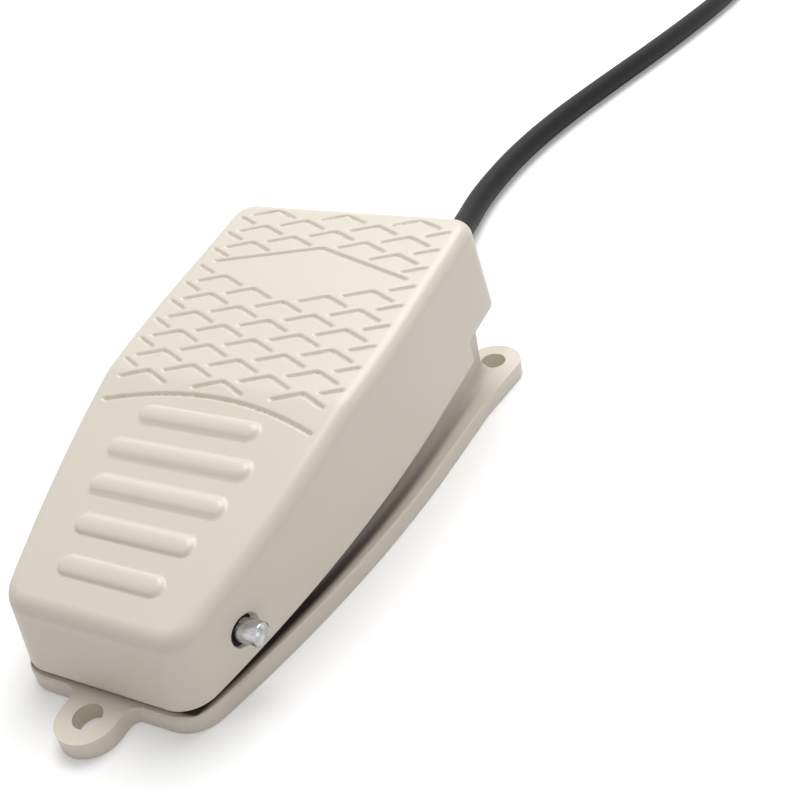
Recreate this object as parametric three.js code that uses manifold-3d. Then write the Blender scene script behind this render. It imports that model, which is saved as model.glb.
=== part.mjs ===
// Foot switch pedal: a hinged treadle over a flanged base, with the switch, spring and cord inside.
// Millimetres. +X right, +Y toward the toe end, +Z up, origin under the middle of the base.
import * as THREE from "three";
import { mergeVertices } from "three/addons/utils/BufferGeometryUtils.js";
import Module from "manifold-3d";

const wasm = await Module();
wasm.setup();

// ---- driving dimensions -------------------------------------------------------------------
// Lengths along Y are counted from the pivot pin's axis toward the toe. Heights of the treadle
// are counted from that axis too, with the treadle pressed flat. Heights of the base are counted
// from the surface that it stands on.

const TREADLE_HALF_WIDTH = 40; // at its widest
const TREADLE_HEEL_HALF_WIDTH = 26.4; // at the heel wall, before its corners are rounded
const TREADLE_WIDEST_Y = 85.6; // the sides run parallel from here to the toe
const TREADLE_HEEL_Y = -16.4; // top of the heel wall
const TREADLE_TOE_Y = 129.6; // top of the toe wall
const HEEL_LEAN = 2.8; // how much further out the heel wall stands at its foot
const TOE_LEAN = 3.3;
const WALL_DRAFT = 0.7; // how much wider every wall stands at its foot
const HEEL_CORNER = 9;
const TOE_CORNER = 7;
const BEND_Y = 52; // the top bends down from here to the heel
const BEND_HEIGHT = 24.8;
const TOE_SLOPE = THREE.MathUtils.degToRad(2.5);
const HEEL_SLOPE = THREE.MathUtils.degToRad(11.6);
const EDGE_ROUNDING = 4;
const SKIRT_FOOT = -8.7;
const SKIRT_STEP_Y = 109.6; // behind this the skirt is cut away to clear the ears and the cord
const SKIRT_STEP_FOOT = -1.5;
const TREADLE_WALL = 2.5;
const TREADLE_ROOF = 2.8;
const REST_TILT = THREE.MathUtils.degToRad(4.75); // the treadle's lift at rest
const TRAVEL = THREE.MathUtils.degToRad(5);

const PIN_RADIUS = 3;
const PIN_HEIGHT = 16.6;
const PIN_OVERHANG = 5.4; // how far the pin stands out of each side wall
const PIN_CHAMFER = 0.8;
const BUSH_WALL = 0.8;
const BUSH_INSET = 0.3; // behind the wall's outer face
const PIN_BOSS_WALL = 3;
const PIN_BOSS_LENGTH = 3;
const CLIP_THICKNESS = 0.8;
const CLIP_WIDTH = 2.2;
const CLIP_GROOVE_DEPTH = 0.5;

const FLANGE_THICKNESS = 5;
const FLANGE_TOE_LIP = 3.3; // how far the flange stands out past the treadle at the toe
const FLANGE_TOE_Y = 129.4;
const FLANGE_EDGE = 0.5;
const HEEL_EAR_Y = -25.8;
const HEEL_EAR_RADIUS = 8;
const HEEL_EAR_FLARE = 3;
const TOE_EAR_X = 37.6;
const TOE_EAR_Y = 127.8;
const TOE_EAR_RADIUS = 8.3;
const TOE_WEB_LENGTH = 22; // from the toe ear's centre to where its web meets the flange's side
const EAR_HOLE_RADIUS = 3.7;
const RISER_TOP = 20;
const RISER_WALL = 2.5;
const RISER_GAP = 1.2; // between the riser and the treadle's skirt
const RISER_HEEL_GAP = 4.0;
const RISER_TOE_GAP = 5.3;
const RISER_FOOT_HEEL = 1; // radius of the fillet at the riser's foot
const RISER_FOOT_TOE = 3;
const BASE_RELIEF = 1.5; // depth of the two pockets under the base
const RELIEF_RIM = 7;
const RELIEF_LAND = 6; // half-width of the land between the two pockets

const SPRING_Y = 96;
const SEAT_OFFSET = 1.03; // the treadle's seat swings to either side of the spring's axis
const SPRING_RADIUS = 7; // to the middle of the wire
const SPRING_WIRE = 0.8; // radius
const SPRING_TURNS = 8;
const SPRING_SEAT_LENGTH = 3;
const SPIGOT_LENGTH = 7;
const SPIGOT_RADIUS = 4.2;

const BUFFER_X = 22;
const BUFFER_Y = 117;
const BUFFER_RADIUS = 5;
const BUFFER_HEIGHT = 5;
const BUFFER_POST_TOP = 22;

const SWITCH_TOE_Y = 80; // toe end of the microswitch case
const SWITCH_LENGTH = 27.8;
const SWITCH_HEIGHT = 15.9;
const SWITCH_WIDTH = 8.8; // without its side cover
const SWITCH_FLOOR = 8.5;
const SWITCH_COVER = 1.2;
const SWITCH_HOLE_SPACING = 22.2;
const SWITCH_SCREW_RADIUS = 1.45;
const SWITCH_SCREW_HEIGHT = 3; // above the case's underside
const PLUNGER_RADIUS = 1.5;
const PLUNGER_PRESSED = 0.5; // what stands out of the case when it is fully pressed
const PLUNGER_DEPTH = 4;
const PLUNGER_FROM_PIVOT = 6;
const LEVER_LIFT = THREE.MathUtils.degToRad(8.6); // from pressed to free
const LEVER_THICKNESS = 0.7;
const LEVER_HALF_WIDTH = 2.1;
const LEVER_REACH = 33; // from its pivot toward the heel
const LEVER_PRESS = 30; // where the adjusting screw presses it
const LEVER_PIVOT_INSET = 2.4; // from the toe end of the case
const LEVER_PIN_RADIUS = 0.8;
const LEVER_BARREL_WALL = 0.7;
const TERMINAL_HALF_WIDTH = 2.1;
const TERMINAL_THICKNESS = 0.5;
const TERMINAL_LENGTH = 6.3;
const TERMINAL_SLOT_DEPTH = 3.5;
const TERMINAL_LIFTS = [6.2, 9.6, 13]; // above the case's underside

const BRACKET_THICKNESS = 1.5;
const BRACKET_FOOT = 14;
const BRACKET_MARGIN = 4;
const FLOOR_SCREW_RADIUS = 1.4;
const FLOOR_SCREW_DEPTH = 2;
const SCREW_HEAD_HEIGHT = 2;

const ADJUSTER_RADIUS = 2;
const ADJUSTER_BOSS_LENGTH = 5;
const LOCK_NUT_HEIGHT = 2.4;
const LOCK_NUT_RADIUS = 4;

const CORD_RADIUS = 4.5;
const CORD_EXIT_HEIGHT = 12;
const RELIEF_COLLAR_RADIUS = 6.4;
const RELIEF_COLLAR = 1.6;
const RELIEF_NECK_RADIUS = 5.6;
const RELIEF_TIP_RADIUS = 5.3;
const RELIEF_LENGTH = 28;
const CLAMP_HALF_WIDTH = 12;
const CLAMP_SCREW_X = 8.2;
const CLAMP_LENGTH = 6;
const CLAMP_THICKNESS = 1.8;
const CORE_RADIUS = 1.1;

const TIE_THICKNESS = 1;
const TIE_HALF_WIDTH = 4;

const LABEL_LENGTH = 30;
const LABEL_HEIGHT = 15;
const LABEL_THICKNESS = 0.3;

const GAP = 0.3; // between pieces that touch
const FIT = 0.15; // radial clearance of a shaft in its hole
const SURFACE_GAP = 0.1; // under a stuck-on label
const SLIVER = 0.005; // edges shorter than this are merged

// ---- derived places -----------------------------------------------------------------------

const HEEL_END = HEEL_EAR_Y - HEEL_EAR_RADIUS;
const TOE_END = TOE_EAR_Y + TOE_EAR_RADIUS;
const PIN_Y = -(HEEL_END + TOE_END) / 2; // puts the origin at the middle of the base's length
const BUSH_BORE = PIN_RADIUS + FIT;
const BUSH_RADIUS = BUSH_BORE + BUSH_WALL;
const FLOOR = FLANGE_THICKNESS;
const RISER_INSET = TREADLE_WALL + RISER_GAP;
const RISER_HEEL_Y = TREADLE_HEEL_Y + RISER_HEEL_GAP;
const RISER_TOE_Y = TREADLE_TOE_Y + TOE_LEAN - TREADLE_WALL - RISER_TOE_GAP + WALL_DRAFT;
const SWITCH_HEEL_Y = SWITCH_TOE_Y - SWITCH_LENGTH;
const SWITCH_MIDDLE_Y = (SWITCH_TOE_Y + SWITCH_HEEL_Y) / 2;
const SWITCH_TOP = SWITCH_FLOOR + SWITCH_HEIGHT;
const LEVER_PIVOT_Y = SWITCH_TOE_Y - LEVER_PIVOT_INSET;
const PLUNGER_STANDS = PLUNGER_PRESSED + PLUNGER_FROM_PIVOT * Math.tan(LEVER_LIFT);
const LEVER_UNDERSIDE = SWITCH_TOP + PLUNGER_PRESSED + GAP; // with the lever pressed flat
const LEVER_BARREL_RADIUS = LEVER_PIN_RADIUS + FIT + LEVER_BARREL_WALL;
const LEVER_PIVOT_HEIGHT = LEVER_UNDERSIDE + LEVER_THICKNESS / 2;
const ADJUSTER_Y = LEVER_PIVOT_Y - LEVER_PRESS;

// ---- finishes -----------------------------------------------------------------------------

const finish = (color, roughness, metalness) =>
  new THREE.MeshStandardMaterial({ color, roughness, metalness });
const ENAMEL = finish(0xe6dfd2, 0.35, 0);
const BRIGHT_STEEL = finish(0xc9ccd0, 0.25, 1);
const ZINC_STEEL = finish(0xaeb1b0, 0.4, 1);
const SPRING_STEEL = finish(0x8f9296, 0.35, 1);
const BLACK_NYLON = finish(0x161514, 0.55, 0);
const BLACK_RUBBER = finish(0x1b1b1d, 0.7, 0);
const PHENOLIC = finish(0x24211f, 0.5, 0);
const RED_PLASTIC = finish(0xa4241d, 0.45, 0);
const BRASS = finish(0xc9a24e, 0.35, 1);
const SHEATH = finish(0x1a1c20, 0.45, 0);
const BROWN_PVC = finish(0x6b3b1e, 0.5, 0);
const BLUE_PVC = finish(0x2456a6, 0.5, 0);
const EARTH_PVC = finish(0x9aa82c, 0.5, 0);
const LABEL_FILM = finish(0x141414, 0.4, 0);

// ---- shape tools --------------------------------------------------------------------------

// A closed geometry as a solid that can be joined and cut.
function solid(geometry) {
  const bare = geometry.index ? geometry.toNonIndexed() : geometry.clone();
  bare.deleteAttribute("normal");
  bare.deleteAttribute("uv");
  const merged = mergeVertices(bare, 1e-4);
  return new wasm.Manifold(
    new wasm.Mesh({
      numProp: 3,
      vertProperties: new Float32Array(merged.attributes.position.array),
      triVerts: new Uint32Array(merged.index.array),
    }),
  );
}

// Joining and cutting leave slivers where edges nearly meet; these are merged away.
function geometryOf(made) {
  const mesh = made.simplify(SLIVER).getMesh();
  const geometry = new THREE.BufferGeometry();
  geometry.setAttribute("position", new THREE.BufferAttribute(mesh.vertProperties, 3));
  geometry.setIndex(new THREE.BufferAttribute(mesh.triVerts, 1));
  return geometry;
}

const joined = (geometries) => geometries.map(solid).reduce((a, b) => a.add(b));
const join = (...geometries) => geometryOf(joined(geometries));
const cut = (body, ...tools) => geometryOf(solid(body).subtract(joined(tools)));
const solidMirror = (body) => geometryOf(solid(body).mirror([1, 0, 0]));
const keep = (body, inside) => geometryOf(solid(body).intersect(solid(inside)));

const block = (x0, x1, y0, y1, z0, z1) =>
  new THREE.BoxGeometry(x1 - x0, y1 - y0, z1 - z0).translate(
    (x0 + x1) / 2,
    (y0 + y1) / 2,
    (z0 + z1) / 2,
  );

// Upright round bar from height z0 to z1.
const post = (radius, x, y, z0, z1, sides = 24) =>
  new THREE.CylinderGeometry(radius, radius, z1 - z0, sides)
    .rotateX(Math.PI / 2)
    .translate(x, y, (z0 + z1) / 2);

// Round bar along X.
const crossBar = (radius, x0, x1, y, z, sides = 24) =>
  new THREE.CylinderGeometry(radius, radius, x1 - x0, sides)
    .rotateZ(-Math.PI / 2)
    .translate((x0 + x1) / 2, y, z);

// Round bar along Y.
const longBar = (radius, x, y0, y1, z, sides = 24) =>
  new THREE.CylinderGeometry(radius, radius, y1 - y0, sides).translate(x, (y0 + y1) / 2, z);

// Pan-headed screw whose head rests at height z, with its shank below it.
function screw(shankRadius, headRadius, headHeight, depth, sides = 12) {
  const profile = [
    [0, -depth],
    [shankRadius - 0.3, -depth],
    [shankRadius, 0.3 - depth],
    [shankRadius, 0],
    [headRadius, 0],
    [headRadius, headHeight * 0.6],
    [headRadius * 0.7, headHeight],
    [0, headHeight],
  ];
  const points = profile.map(([r, y]) => new THREE.Vector2(r, y));
  const body = new THREE.LatheGeometry(points, sides).rotateX(Math.PI / 2);
  const slot = block(-headRadius, headRadius, -0.3, 0.3, headHeight * 0.5, headHeight + 1);
  return cut(body, slot);
}

function hexagon(radius, bore, z0, z1) {
  const nut = post(radius, 0, 0, z0, z1, 6);
  return cut(nut, post(bore, 0, 0, z0 - 1, z1 + 1, 16));
}

// Tube along a curve, closed at both ends.
function tube(curve, radius, steps, sides) {
  const section = new THREE.Shape();
  for (let i = 0; i < sides; i++) {
    const angle = (i * 2 * Math.PI) / sides;
    const point = [radius * Math.cos(angle), radius * Math.sin(angle)];
    i ? section.lineTo(...point) : section.moveTo(...point);
  }
  return new THREE.ExtrudeGeometry(section, { steps, extrudePath: curve, bevelEnabled: false });
}

const smoothCurve = (points) =>
  new THREE.CatmullRomCurve3(points.map((p) => new THREE.Vector3(...p)), false, "centripetal");

// Closed body between plan outlines at rising heights. Each level lists its right-hand points
// from heel to toe as [x, y, z]; the left-hand ones mirror them, and rungs join the two sides.
function ladder(levels) {
  const count = levels[0].length;
  const positions = [];
  for (const level of levels)
    for (const side of [1, -1]) for (const [x, y, z] of level) positions.push(side * x, y, z);
  const right = (level, i) => level * 2 * count + i;
  const left = (level, i) => level * 2 * count + count + i;
  const faces = [];
  const quad = (a, b, c, d) => faces.push(a, b, c, a, c, d);
  const top = levels.length - 1;
  for (let i = 0; i + 1 < count; i++) {
    quad(right(0, i), left(0, i), left(0, i + 1), right(0, i + 1));
    quad(left(top, i), right(top, i), right(top, i + 1), left(top, i + 1));
    for (let l = 0; l < top; l++) {
      quad(right(l, i), right(l, i + 1), right(l + 1, i + 1), right(l + 1, i));
      quad(left(l, i + 1), left(l, i), left(l + 1, i), left(l + 1, i + 1));
    }
  }
  for (let l = 0; l < top; l++) {
    quad(left(l, 0), right(l, 0), right(l + 1, 0), left(l + 1, 0));
    quad(right(l, count - 1), left(l, count - 1), left(l + 1, count - 1), right(l + 1, count - 1));
  }
  const geometry = new THREE.BufferGeometry();
  geometry.setAttribute("position", new THREE.Float32BufferAttribute(positions, 3));
  geometry.setIndex(faces);
  return geometry;
}

// ---- plan outline and top of the treadle --------------------------------------------------

// Half-width of the treadle's plan: parallel sides, then a parabola that narrows to the heel.
function halfWidth(y) {
  const share = Math.max(0, TREADLE_WIDEST_Y - y) / (TREADLE_WIDEST_Y - TREADLE_HEEL_Y);
  return TREADLE_HALF_WIDTH - (TREADLE_HALF_WIDTH - TREADLE_HEEL_HALF_WIDTH) * share ** 2;
}

// Angle between the side of the plan and the Y axis.
function sideAngle(y) {
  return Math.atan2(halfWidth(y + 0.5) - halfWidth(y - 0.5), 1);
}

const CORNER_STEPS = 7;
const SIDE_STEPS = 9;

// Right-hand plan points from heel to toe, pushed out by grow(y) along the side's own normal.
// The corners are arcs tangent to the side and to the straight heel and toe edges.
function outline(grow, heelY, toeY, heelRadius, toeRadius) {
  const points = [];
  const centreY = heelY + heelRadius;
  const angle = sideAngle(centreY);
  const tangentY = centreY - heelRadius * Math.sin(angle);
  const centreX = halfWidth(tangentY) - heelRadius * Math.cos(angle);
  for (let i = 0; i <= CORNER_STEPS; i++) {
    const a = -Math.PI / 2 + ((Math.PI / 2 - angle) * i) / CORNER_STEPS;
    const radius = heelRadius + grow(tangentY);
    points.push([centreX + radius * Math.cos(a), centreY + radius * Math.sin(a)]);
  }
  const stations = [];
  for (let i = 1; i <= SIDE_STEPS; i++) stations.push(tangentY + (i / SIDE_STEPS) * (BEND_Y - tangentY));
  for (let i = 1; i <= 4; i++) stations.push(BEND_Y + (i / 4) * (TREADLE_WIDEST_Y - BEND_Y));
  stations.forEach((y, i) => {
    const a = sideAngle(y);
    const shift = i === SIDE_STEPS - 1 ? 0 : grow(y) * Math.sin(a); // the bend keeps its own line
    points.push([halfWidth(y) + grow(y) * Math.cos(a), y - shift]);
  });
  for (let i = 0; i <= CORNER_STEPS; i++) {
    const a = (Math.PI / 2) * (i / CORNER_STEPS);
    const radius = toeRadius + grow(toeY);
    const x = TREADLE_HALF_WIDTH - toeRadius + radius * Math.cos(a);
    points.push([x, toeY - toeRadius + radius * Math.sin(a)]);
  }
  return points;
}

const even = (size) => () => size;
const level = (points, height) => points.map(([x, y]) => [x, y, height(y)]);

// Height of the treadle's top: two planes that meet at the bend.
function topHeight(y) {
  return y > BEND_Y
    ? BEND_HEIGHT + (y - BEND_Y) * Math.tan(TOE_SLOPE)
    : BEND_HEIGHT - (BEND_Y - y) * Math.tan(HEEL_SLOPE);
}

// Point on the top, at x across and s along the surface from the bend (positive to the toe).
function onTop(x, s) {
  const slope = s > 0 ? TOE_SLOPE : HEEL_SLOPE;
  return new THREE.Vector3(x, BEND_Y + s * Math.cos(slope), BEND_HEIGHT + s * Math.sin(slope));
}

// ---- tread pattern ------------------------------------------------------------------------

const GROOVE_CUTTER = 1.2; // circumradius of the three-sided cutter
const GROOVE_DEPTH = 0.75;
const COLUMN = 12; // between columns of chevrons
const ROW = 4.035; // between rows, along the surface
const FIRST_ROW = 73.6; // from the bend to row 0
const LAST_ROW = 18;
const ARM_X = 7.2;
const ARM_S = 3.3;
const CREST_X = 31.1; // the large chevron
const CREST_S = 10;
const CREST_ROW = 4;
const ARC_HALF = 31.7;
const ARC_SAG = 0.0058;
const ARC_BEHIND_BEND = 4.4;
const TOE_BARS = [18.1, 21.5, 20.1, 17.4, 15.3]; // half-lengths, from the bend to the heel
const TOE_BAR_FIRST = 12.5;
const TOE_BAR_PITCH = 11.05;
const TOE_BAR_HALF_WIDTH = 2.5;
const TOE_BAR_RISE = 1;

// V-shaped cutter between two points of the top, its edge GROOVE_DEPTH below the surface.
function groove(xa, sa, xb, sb) {
  const a = onTop(xa, sa);
  const b = onTop(xb, sb);
  const slope = sa + sb > 0 ? TOE_SLOPE : HEEL_SLOPE;
  const length = a.distanceTo(b) + GROOVE_CUTTER / 2;
  const cutter = new THREE.CylinderGeometry(GROOVE_CUTTER, GROOVE_CUTTER, length, 3);
  const along = b.clone().sub(a).normalize();
  const up = new THREE.Vector3(0, -Math.sin(slope), Math.cos(slope));
  const basis = new THREE.Matrix4().makeBasis(
    new THREE.Vector3().crossVectors(along, up.clone().negate()),
    along,
    up.clone().negate(),
  );
  cutter.applyMatrix4(basis);
  const middle = a.add(b).multiplyScalar(0.5).addScaledVector(up, GROOVE_CUTTER - GROOVE_DEPTH);
  return cutter.translate(middle.x, middle.y, middle.z);
}

// The plain field around the large chevron.
function inPlainField(x, s) {
  const fromRowZero = FIRST_ROW - s;
  return fromRowZero > 12.5 + 0.32 * Math.abs(x) && fromRowZero < 33 - Math.abs(x) / 3;
}

function treadGrooves() {
  const grooves = [];
  for (let row = 0; row <= LAST_ROW; row++) {
    const s = FIRST_ROW - row * ROW;
    for (let column = -3; column <= 3; column++) {
      if ((row + column) % 2 || inPlainField(column * COLUMN, s)) continue;
      const x = column * COLUMN;
      const edge = halfWidth(onTop(0, s).y) - EDGE_ROUNDING - GROOVE_CUTTER;
      for (const side of [-1, 1]) {
        const tip = x + side * ARM_X;
        if (Math.abs(tip) > edge) continue;
        const start = Math.sign(x) * Math.min(Math.abs(x), edge);
        const share = Math.abs(tip - start) / ARM_X;
        if (share > 0.3) grooves.push(groove(start, s - ARM_S * (1 - share), tip, s - ARM_S));
      }
    }
  }
  const crest = FIRST_ROW - CREST_ROW * ROW;
  for (const side of [-1, 1]) grooves.push(groove(0, crest, side * CREST_X, crest - CREST_S));
  const arc = (x) => -ARC_BEHIND_BEND - ARC_SAG * x * x;
  for (let i = -4; i < 4; i++) {
    const [xa, xb] = [(i * ARC_HALF) / 4, ((i + 1) * ARC_HALF) / 4];
    grooves.push(groove(xa, arc(xa), xb, arc(xb)));
  }
  return grooves;
}

function toeBars() {
  return TOE_BARS.map((half, i) => {
    const bar = new THREE.CapsuleGeometry(TOE_BAR_HALF_WIDTH, 2 * half - 2 * TOE_BAR_HALF_WIDTH, 3, 12)
      .rotateZ(Math.PI / 2)
      .scale(1, 1, TOE_BAR_RISE / TOE_BAR_HALF_WIDTH)
      .rotateX(HEEL_SLOPE);
    const place = onTop(0, -TOE_BAR_FIRST - i * TOE_BAR_PITCH);
    return bar.translate(place.x, place.y, place.z);
  });
}

// ---- treadle ------------------------------------------------------------------------------

function treadleOuter() {
  const foot = outline(
    even(WALL_DRAFT),
    TREADLE_HEEL_Y - HEEL_LEAN,
    TREADLE_TOE_Y + TOE_LEAN,
    HEEL_CORNER,
    TOE_CORNER,
  );
  const levels = [level(foot, even(SKIRT_FOOT))];
  for (const share of [0, 0.3, 0.62, 1]) {
    const angle = (share * Math.PI) / 2;
    const inset = EDGE_ROUNDING * (1 - Math.cos(angle));
    const drop = EDGE_ROUNDING * (1 - Math.sin(angle));
    const ring = outline(even(-inset), TREADLE_HEEL_Y, TREADLE_TOE_Y, HEEL_CORNER, TOE_CORNER);
    levels.push(level(ring, (y) => topHeight(y) - drop));
  }
  return ladder(levels);
}

function treadleCavity() {
  const heel = TREADLE_HEEL_Y - HEEL_LEAN;
  const toe = TREADLE_TOE_Y + TOE_LEAN;
  const foot = outline(even(WALL_DRAFT - TREADLE_WALL), heel, toe, HEEL_CORNER, TOE_CORNER);
  const head = outline(even(-TREADLE_WALL), TREADLE_HEEL_Y, TREADLE_TOE_Y, HEEL_CORNER, TOE_CORNER);
  const crown = outline(
    even(-TREADLE_WALL - 1.5),
    TREADLE_HEEL_Y,
    TREADLE_TOE_Y,
    HEEL_CORNER,
    TOE_CORNER,
  );
  return ladder([
    level(foot, even(SKIRT_FOOT - 1)),
    level(head, (y) => topHeight(y) - TREADLE_ROOF - 1.5),
    level(crown, (y) => topHeight(y) - TREADLE_ROOF),
  ]);
}

// Foot of a boss that meets a buffer on the base when the treadle is fully pressed.
const overTravel = TRAVEL - REST_TILT;
const BUFFER_TOP = BUFFER_POST_TOP + GAP + BUFFER_HEIGHT;
const STOP_FOOT = BUFFER_TOP + GAP + BUFFER_Y * Math.sin(overTravel) + 0.3 - PIN_HEIGHT;
const SPRING_SEAT = topHeight(SPRING_Y) - TREADLE_ROOF - SPRING_SEAT_LENGTH;
const ADJUSTER_ROOF = topHeight(ADJUSTER_Y) - TREADLE_ROOF;
const ADJUSTER_BOSS_FOOT = ADJUSTER_ROOF - ADJUSTER_BOSS_LENGTH;
// The adjusting screw's tip rests just above the lever when the treadle is up.
const LEVER_TOP_AT_REST =
  LEVER_PIVOT_HEIGHT + LEVER_PRESS * Math.tan(LEVER_LIFT) + LEVER_THICKNESS / 2 / Math.cos(LEVER_LIFT);
const ADJUSTER_TIP =
  (LEVER_TOP_AT_REST + 2 * GAP - PIN_HEIGHT - ADJUSTER_Y * Math.sin(REST_TILT)) / Math.cos(REST_TILT);

function treadleBosses() {
  const inRoof = (y) => topHeight(y) - TREADLE_ROOF / 2;
  const seatRadius = SPRING_RADIUS + SPRING_WIRE + 1;
  const seatY = SPRING_Y + SEAT_OFFSET;
  return [
    post(seatRadius, 0, seatY, SPRING_SEAT, inRoof(SPRING_Y)),
    post(SPIGOT_RADIUS, 0, seatY, SPRING_SEAT - SPIGOT_LENGTH, inRoof(SPRING_Y)),
    post(LOCK_NUT_RADIUS, 0, ADJUSTER_Y, ADJUSTER_BOSS_FOOT, inRoof(ADJUSTER_Y)),
    post(BUFFER_RADIUS, BUFFER_X, BUFFER_Y, STOP_FOOT, inRoof(BUFFER_Y)),
    post(BUFFER_RADIUS, -BUFFER_X, BUFFER_Y, STOP_FOOT, inRoof(BUFFER_Y)),
  ];
}

function treadleCasting() {
  const wide = TREADLE_HALF_WIDTH + 10;
  const toeWall = TREADLE_TOE_Y + TOE_LEAN + WALL_DRAFT;
  const shell = cut(treadleOuter(), treadleCavity());
  const cordArch = RELIEF_COLLAR_RADIUS + 1.6;
  const archHeight = CORD_EXIT_HEIGHT - PIN_HEIGHT;
  const bored = cut(
    join(shell, ...treadleBosses(), ...toeBars()),
    block(-wide, wide, SKIRT_STEP_Y, toeWall + 10, SKIRT_FOOT - 5, SKIRT_STEP_FOOT),
    longBar(cordArch, 0, toeWall - 12, toeWall + 5, archHeight),
    crossBar(BUSH_RADIUS + FIT, -wide, wide, 0, 0),
    post(ADJUSTER_RADIUS + FIT, 0, ADJUSTER_Y, ADJUSTER_BOSS_FOOT - 1, ADJUSTER_ROOF - 1, 16),
  );
  return cut(bored, ...treadGrooves());
}

// Plain sleeve in the side wall, short enough to clear the riser where the wall slants.
function pivotBush(side) {
  const outer = halfWidth(-BUSH_RADIUS) + WALL_DRAFT / 2 - BUSH_INSET;
  const inner = halfWidth(BUSH_RADIUS) - RISER_INSET + GAP;
  const sleeve = crossBar(BUSH_RADIUS, inner, outer, 0, 0);
  const bush = cut(sleeve, crossBar(BUSH_BORE, inner - 2, outer + 2, 0, 0));
  return side > 0 ? bush : bush.rotateZ(Math.PI);
}

function adjustingScrew() {
  const top = ADJUSTER_ROOF - 1 - GAP;
  const profile = [
    [0, ADJUSTER_TIP],
    [0.5, ADJUSTER_TIP],
    [ADJUSTER_RADIUS, ADJUSTER_TIP + 1.5],
    [ADJUSTER_RADIUS, top],
    [0, top],
  ];
  const points = profile.map(([r, y]) => new THREE.Vector2(r, y));
  return new THREE.LatheGeometry(points, 16).rotateX(Math.PI / 2).translate(0, ADJUSTER_Y, 0);
}

function lockNut() {
  const top = ADJUSTER_BOSS_FOOT - GAP;
  const nut = hexagon(LOCK_NUT_RADIUS, ADJUSTER_RADIUS + FIT, top - LOCK_NUT_HEIGHT, top);
  return nut.translate(0, ADJUSTER_Y, 0);
}

// Blank sticker that lies on the left wall, turned to the wall's draft.
function ratingLabel() {
  const middle = (SKIRT_FOOT + topHeight(TREADLE_WIDEST_Y) - EDGE_ROUNDING) / 2;
  const rise = topHeight(TREADLE_WIDEST_Y) - EDGE_ROUNDING - SKIRT_FOOT;
  const lean = Math.atan2(WALL_DRAFT, rise);
  const x = -(TREADLE_HALF_WIDTH + WALL_DRAFT / 2 + SURFACE_GAP + LABEL_THICKNESS / 2);
  return new THREE.BoxGeometry(LABEL_THICKNESS, LABEL_LENGTH, LABEL_HEIGHT)
    .rotateY(lean)
    .translate(x, TREADLE_WIDEST_Y + LABEL_LENGTH / 2 + 1, middle);
}

// ---- base ---------------------------------------------------------------------------------

const along = (heelValue, toeValue) => (y) =>
  THREE.MathUtils.mapLinear(y, TREADLE_HEEL_Y, TREADLE_TOE_Y, heelValue, toeValue);

function flangePlate() {
  const lip = along(WALL_DRAFT, WALL_DRAFT + FLANGE_TOE_LIP);
  const heelY = TREADLE_HEEL_Y - HEEL_LEAN;
  const toeY = FLANGE_TOE_Y - FLANGE_TOE_LIP - WALL_DRAFT;
  const ring = (inset) =>
    outline((y) => lip(y) - inset, heelY, toeY, HEEL_CORNER, TOE_CORNER);
  return ladder([
    level(ring(0), even(0)),
    level(ring(0), even(FLANGE_THICKNESS - FLANGE_EDGE)),
    level(ring(FLANGE_EDGE), even(FLANGE_THICKNESS)),
  ]);
}

// Ear at the heel: a round end, straight cheeks, and a flare where they meet the flange.
function heelEar() {
  const root = TREADLE_HEEL_Y - HEEL_LEAN + 2;
  const flange = TREADLE_HEEL_Y - HEEL_LEAN - WALL_DRAFT;
  const r = HEEL_EAR_RADIUS;
  const shape = new THREE.Shape();
  shape.moveTo(r + HEEL_EAR_FLARE, root);
  shape.lineTo(-r - HEEL_EAR_FLARE, root);
  shape.lineTo(-r - HEEL_EAR_FLARE, flange);
  shape.quadraticCurveTo(-r, flange, -r, flange - HEEL_EAR_FLARE);
  shape.lineTo(-r, HEEL_EAR_Y);
  shape.absarc(0, HEEL_EAR_Y, r, Math.PI, 2 * Math.PI, false);
  shape.lineTo(r, flange - HEEL_EAR_FLARE);
  shape.quadraticCurveTo(r, flange, r + HEEL_EAR_FLARE, flange);
  return new THREE.ExtrudeGeometry(shape, {
    depth: FLANGE_THICKNESS,
    bevelEnabled: false,
    curveSegments: 24,
  });
}

// Ring wall that stands inside the treadle's skirt, with a fillet at its foot.
function riserOutline(grow) {
  const inset = (y) => grow(y) - RISER_INSET;
  return outline(
    inset,
    RISER_HEEL_Y - RISER_INSET,
    RISER_TOE_Y + RISER_INSET,
    HEEL_CORNER,
    TOE_CORNER + 2,
  );
}

function riser() {
  const radius = along(RISER_FOOT_HEEL, RISER_FOOT_TOE);
  const levels = [level(riserOutline(radius), even(FLOOR - 1))];
  for (const share of [0, 0.25, 0.5, 0.75, 1]) {
    const angle = (share * Math.PI) / 2;
    const ring = riserOutline((y) => radius(y) * (1 - Math.sin(angle)));
    levels.push(ring.map(([x, y]) => [x, y, FLOOR + radius(y) * (1 - Math.cos(angle))]));
  }
  levels.push(level(riserOutline(even(0)), even(RISER_TOP)));
  const inside = riserOutline(even(-RISER_WALL));
  return cut(
    ladder(levels),
    ladder([level(inside, even(FLOOR)), level(inside, even(RISER_TOP + 5))]),
  );
}

// Bosses that carry the pivot pin, kept inside the riser's outer face.
function pinBosses() {
  const radius = PIN_RADIUS + FIT + PIN_BOSS_WALL;
  const outer = riserOutline(even(-RISER_WALL / 2));
  const inside = ladder([level(outer, even(FLOOR)), level(outer, even(PIN_HEIGHT + radius + 1))]);
  const reach = halfWidth(0) - RISER_INSET;
  const boss = (side) => {
    const [x0, x1] = [side * (reach + 1), side * PIN_BOSS_FACE].sort((a, b) => a - b);
    return crossBar(radius, x0, x1, 0, PIN_HEIGHT);
  };
  return [keep(boss(1), inside), keep(boss(-1), inside)];
}

const PIN_BOSS_FACE = halfWidth(0) - RISER_INSET - RISER_WALL - PIN_BOSS_LENGTH;

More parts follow.
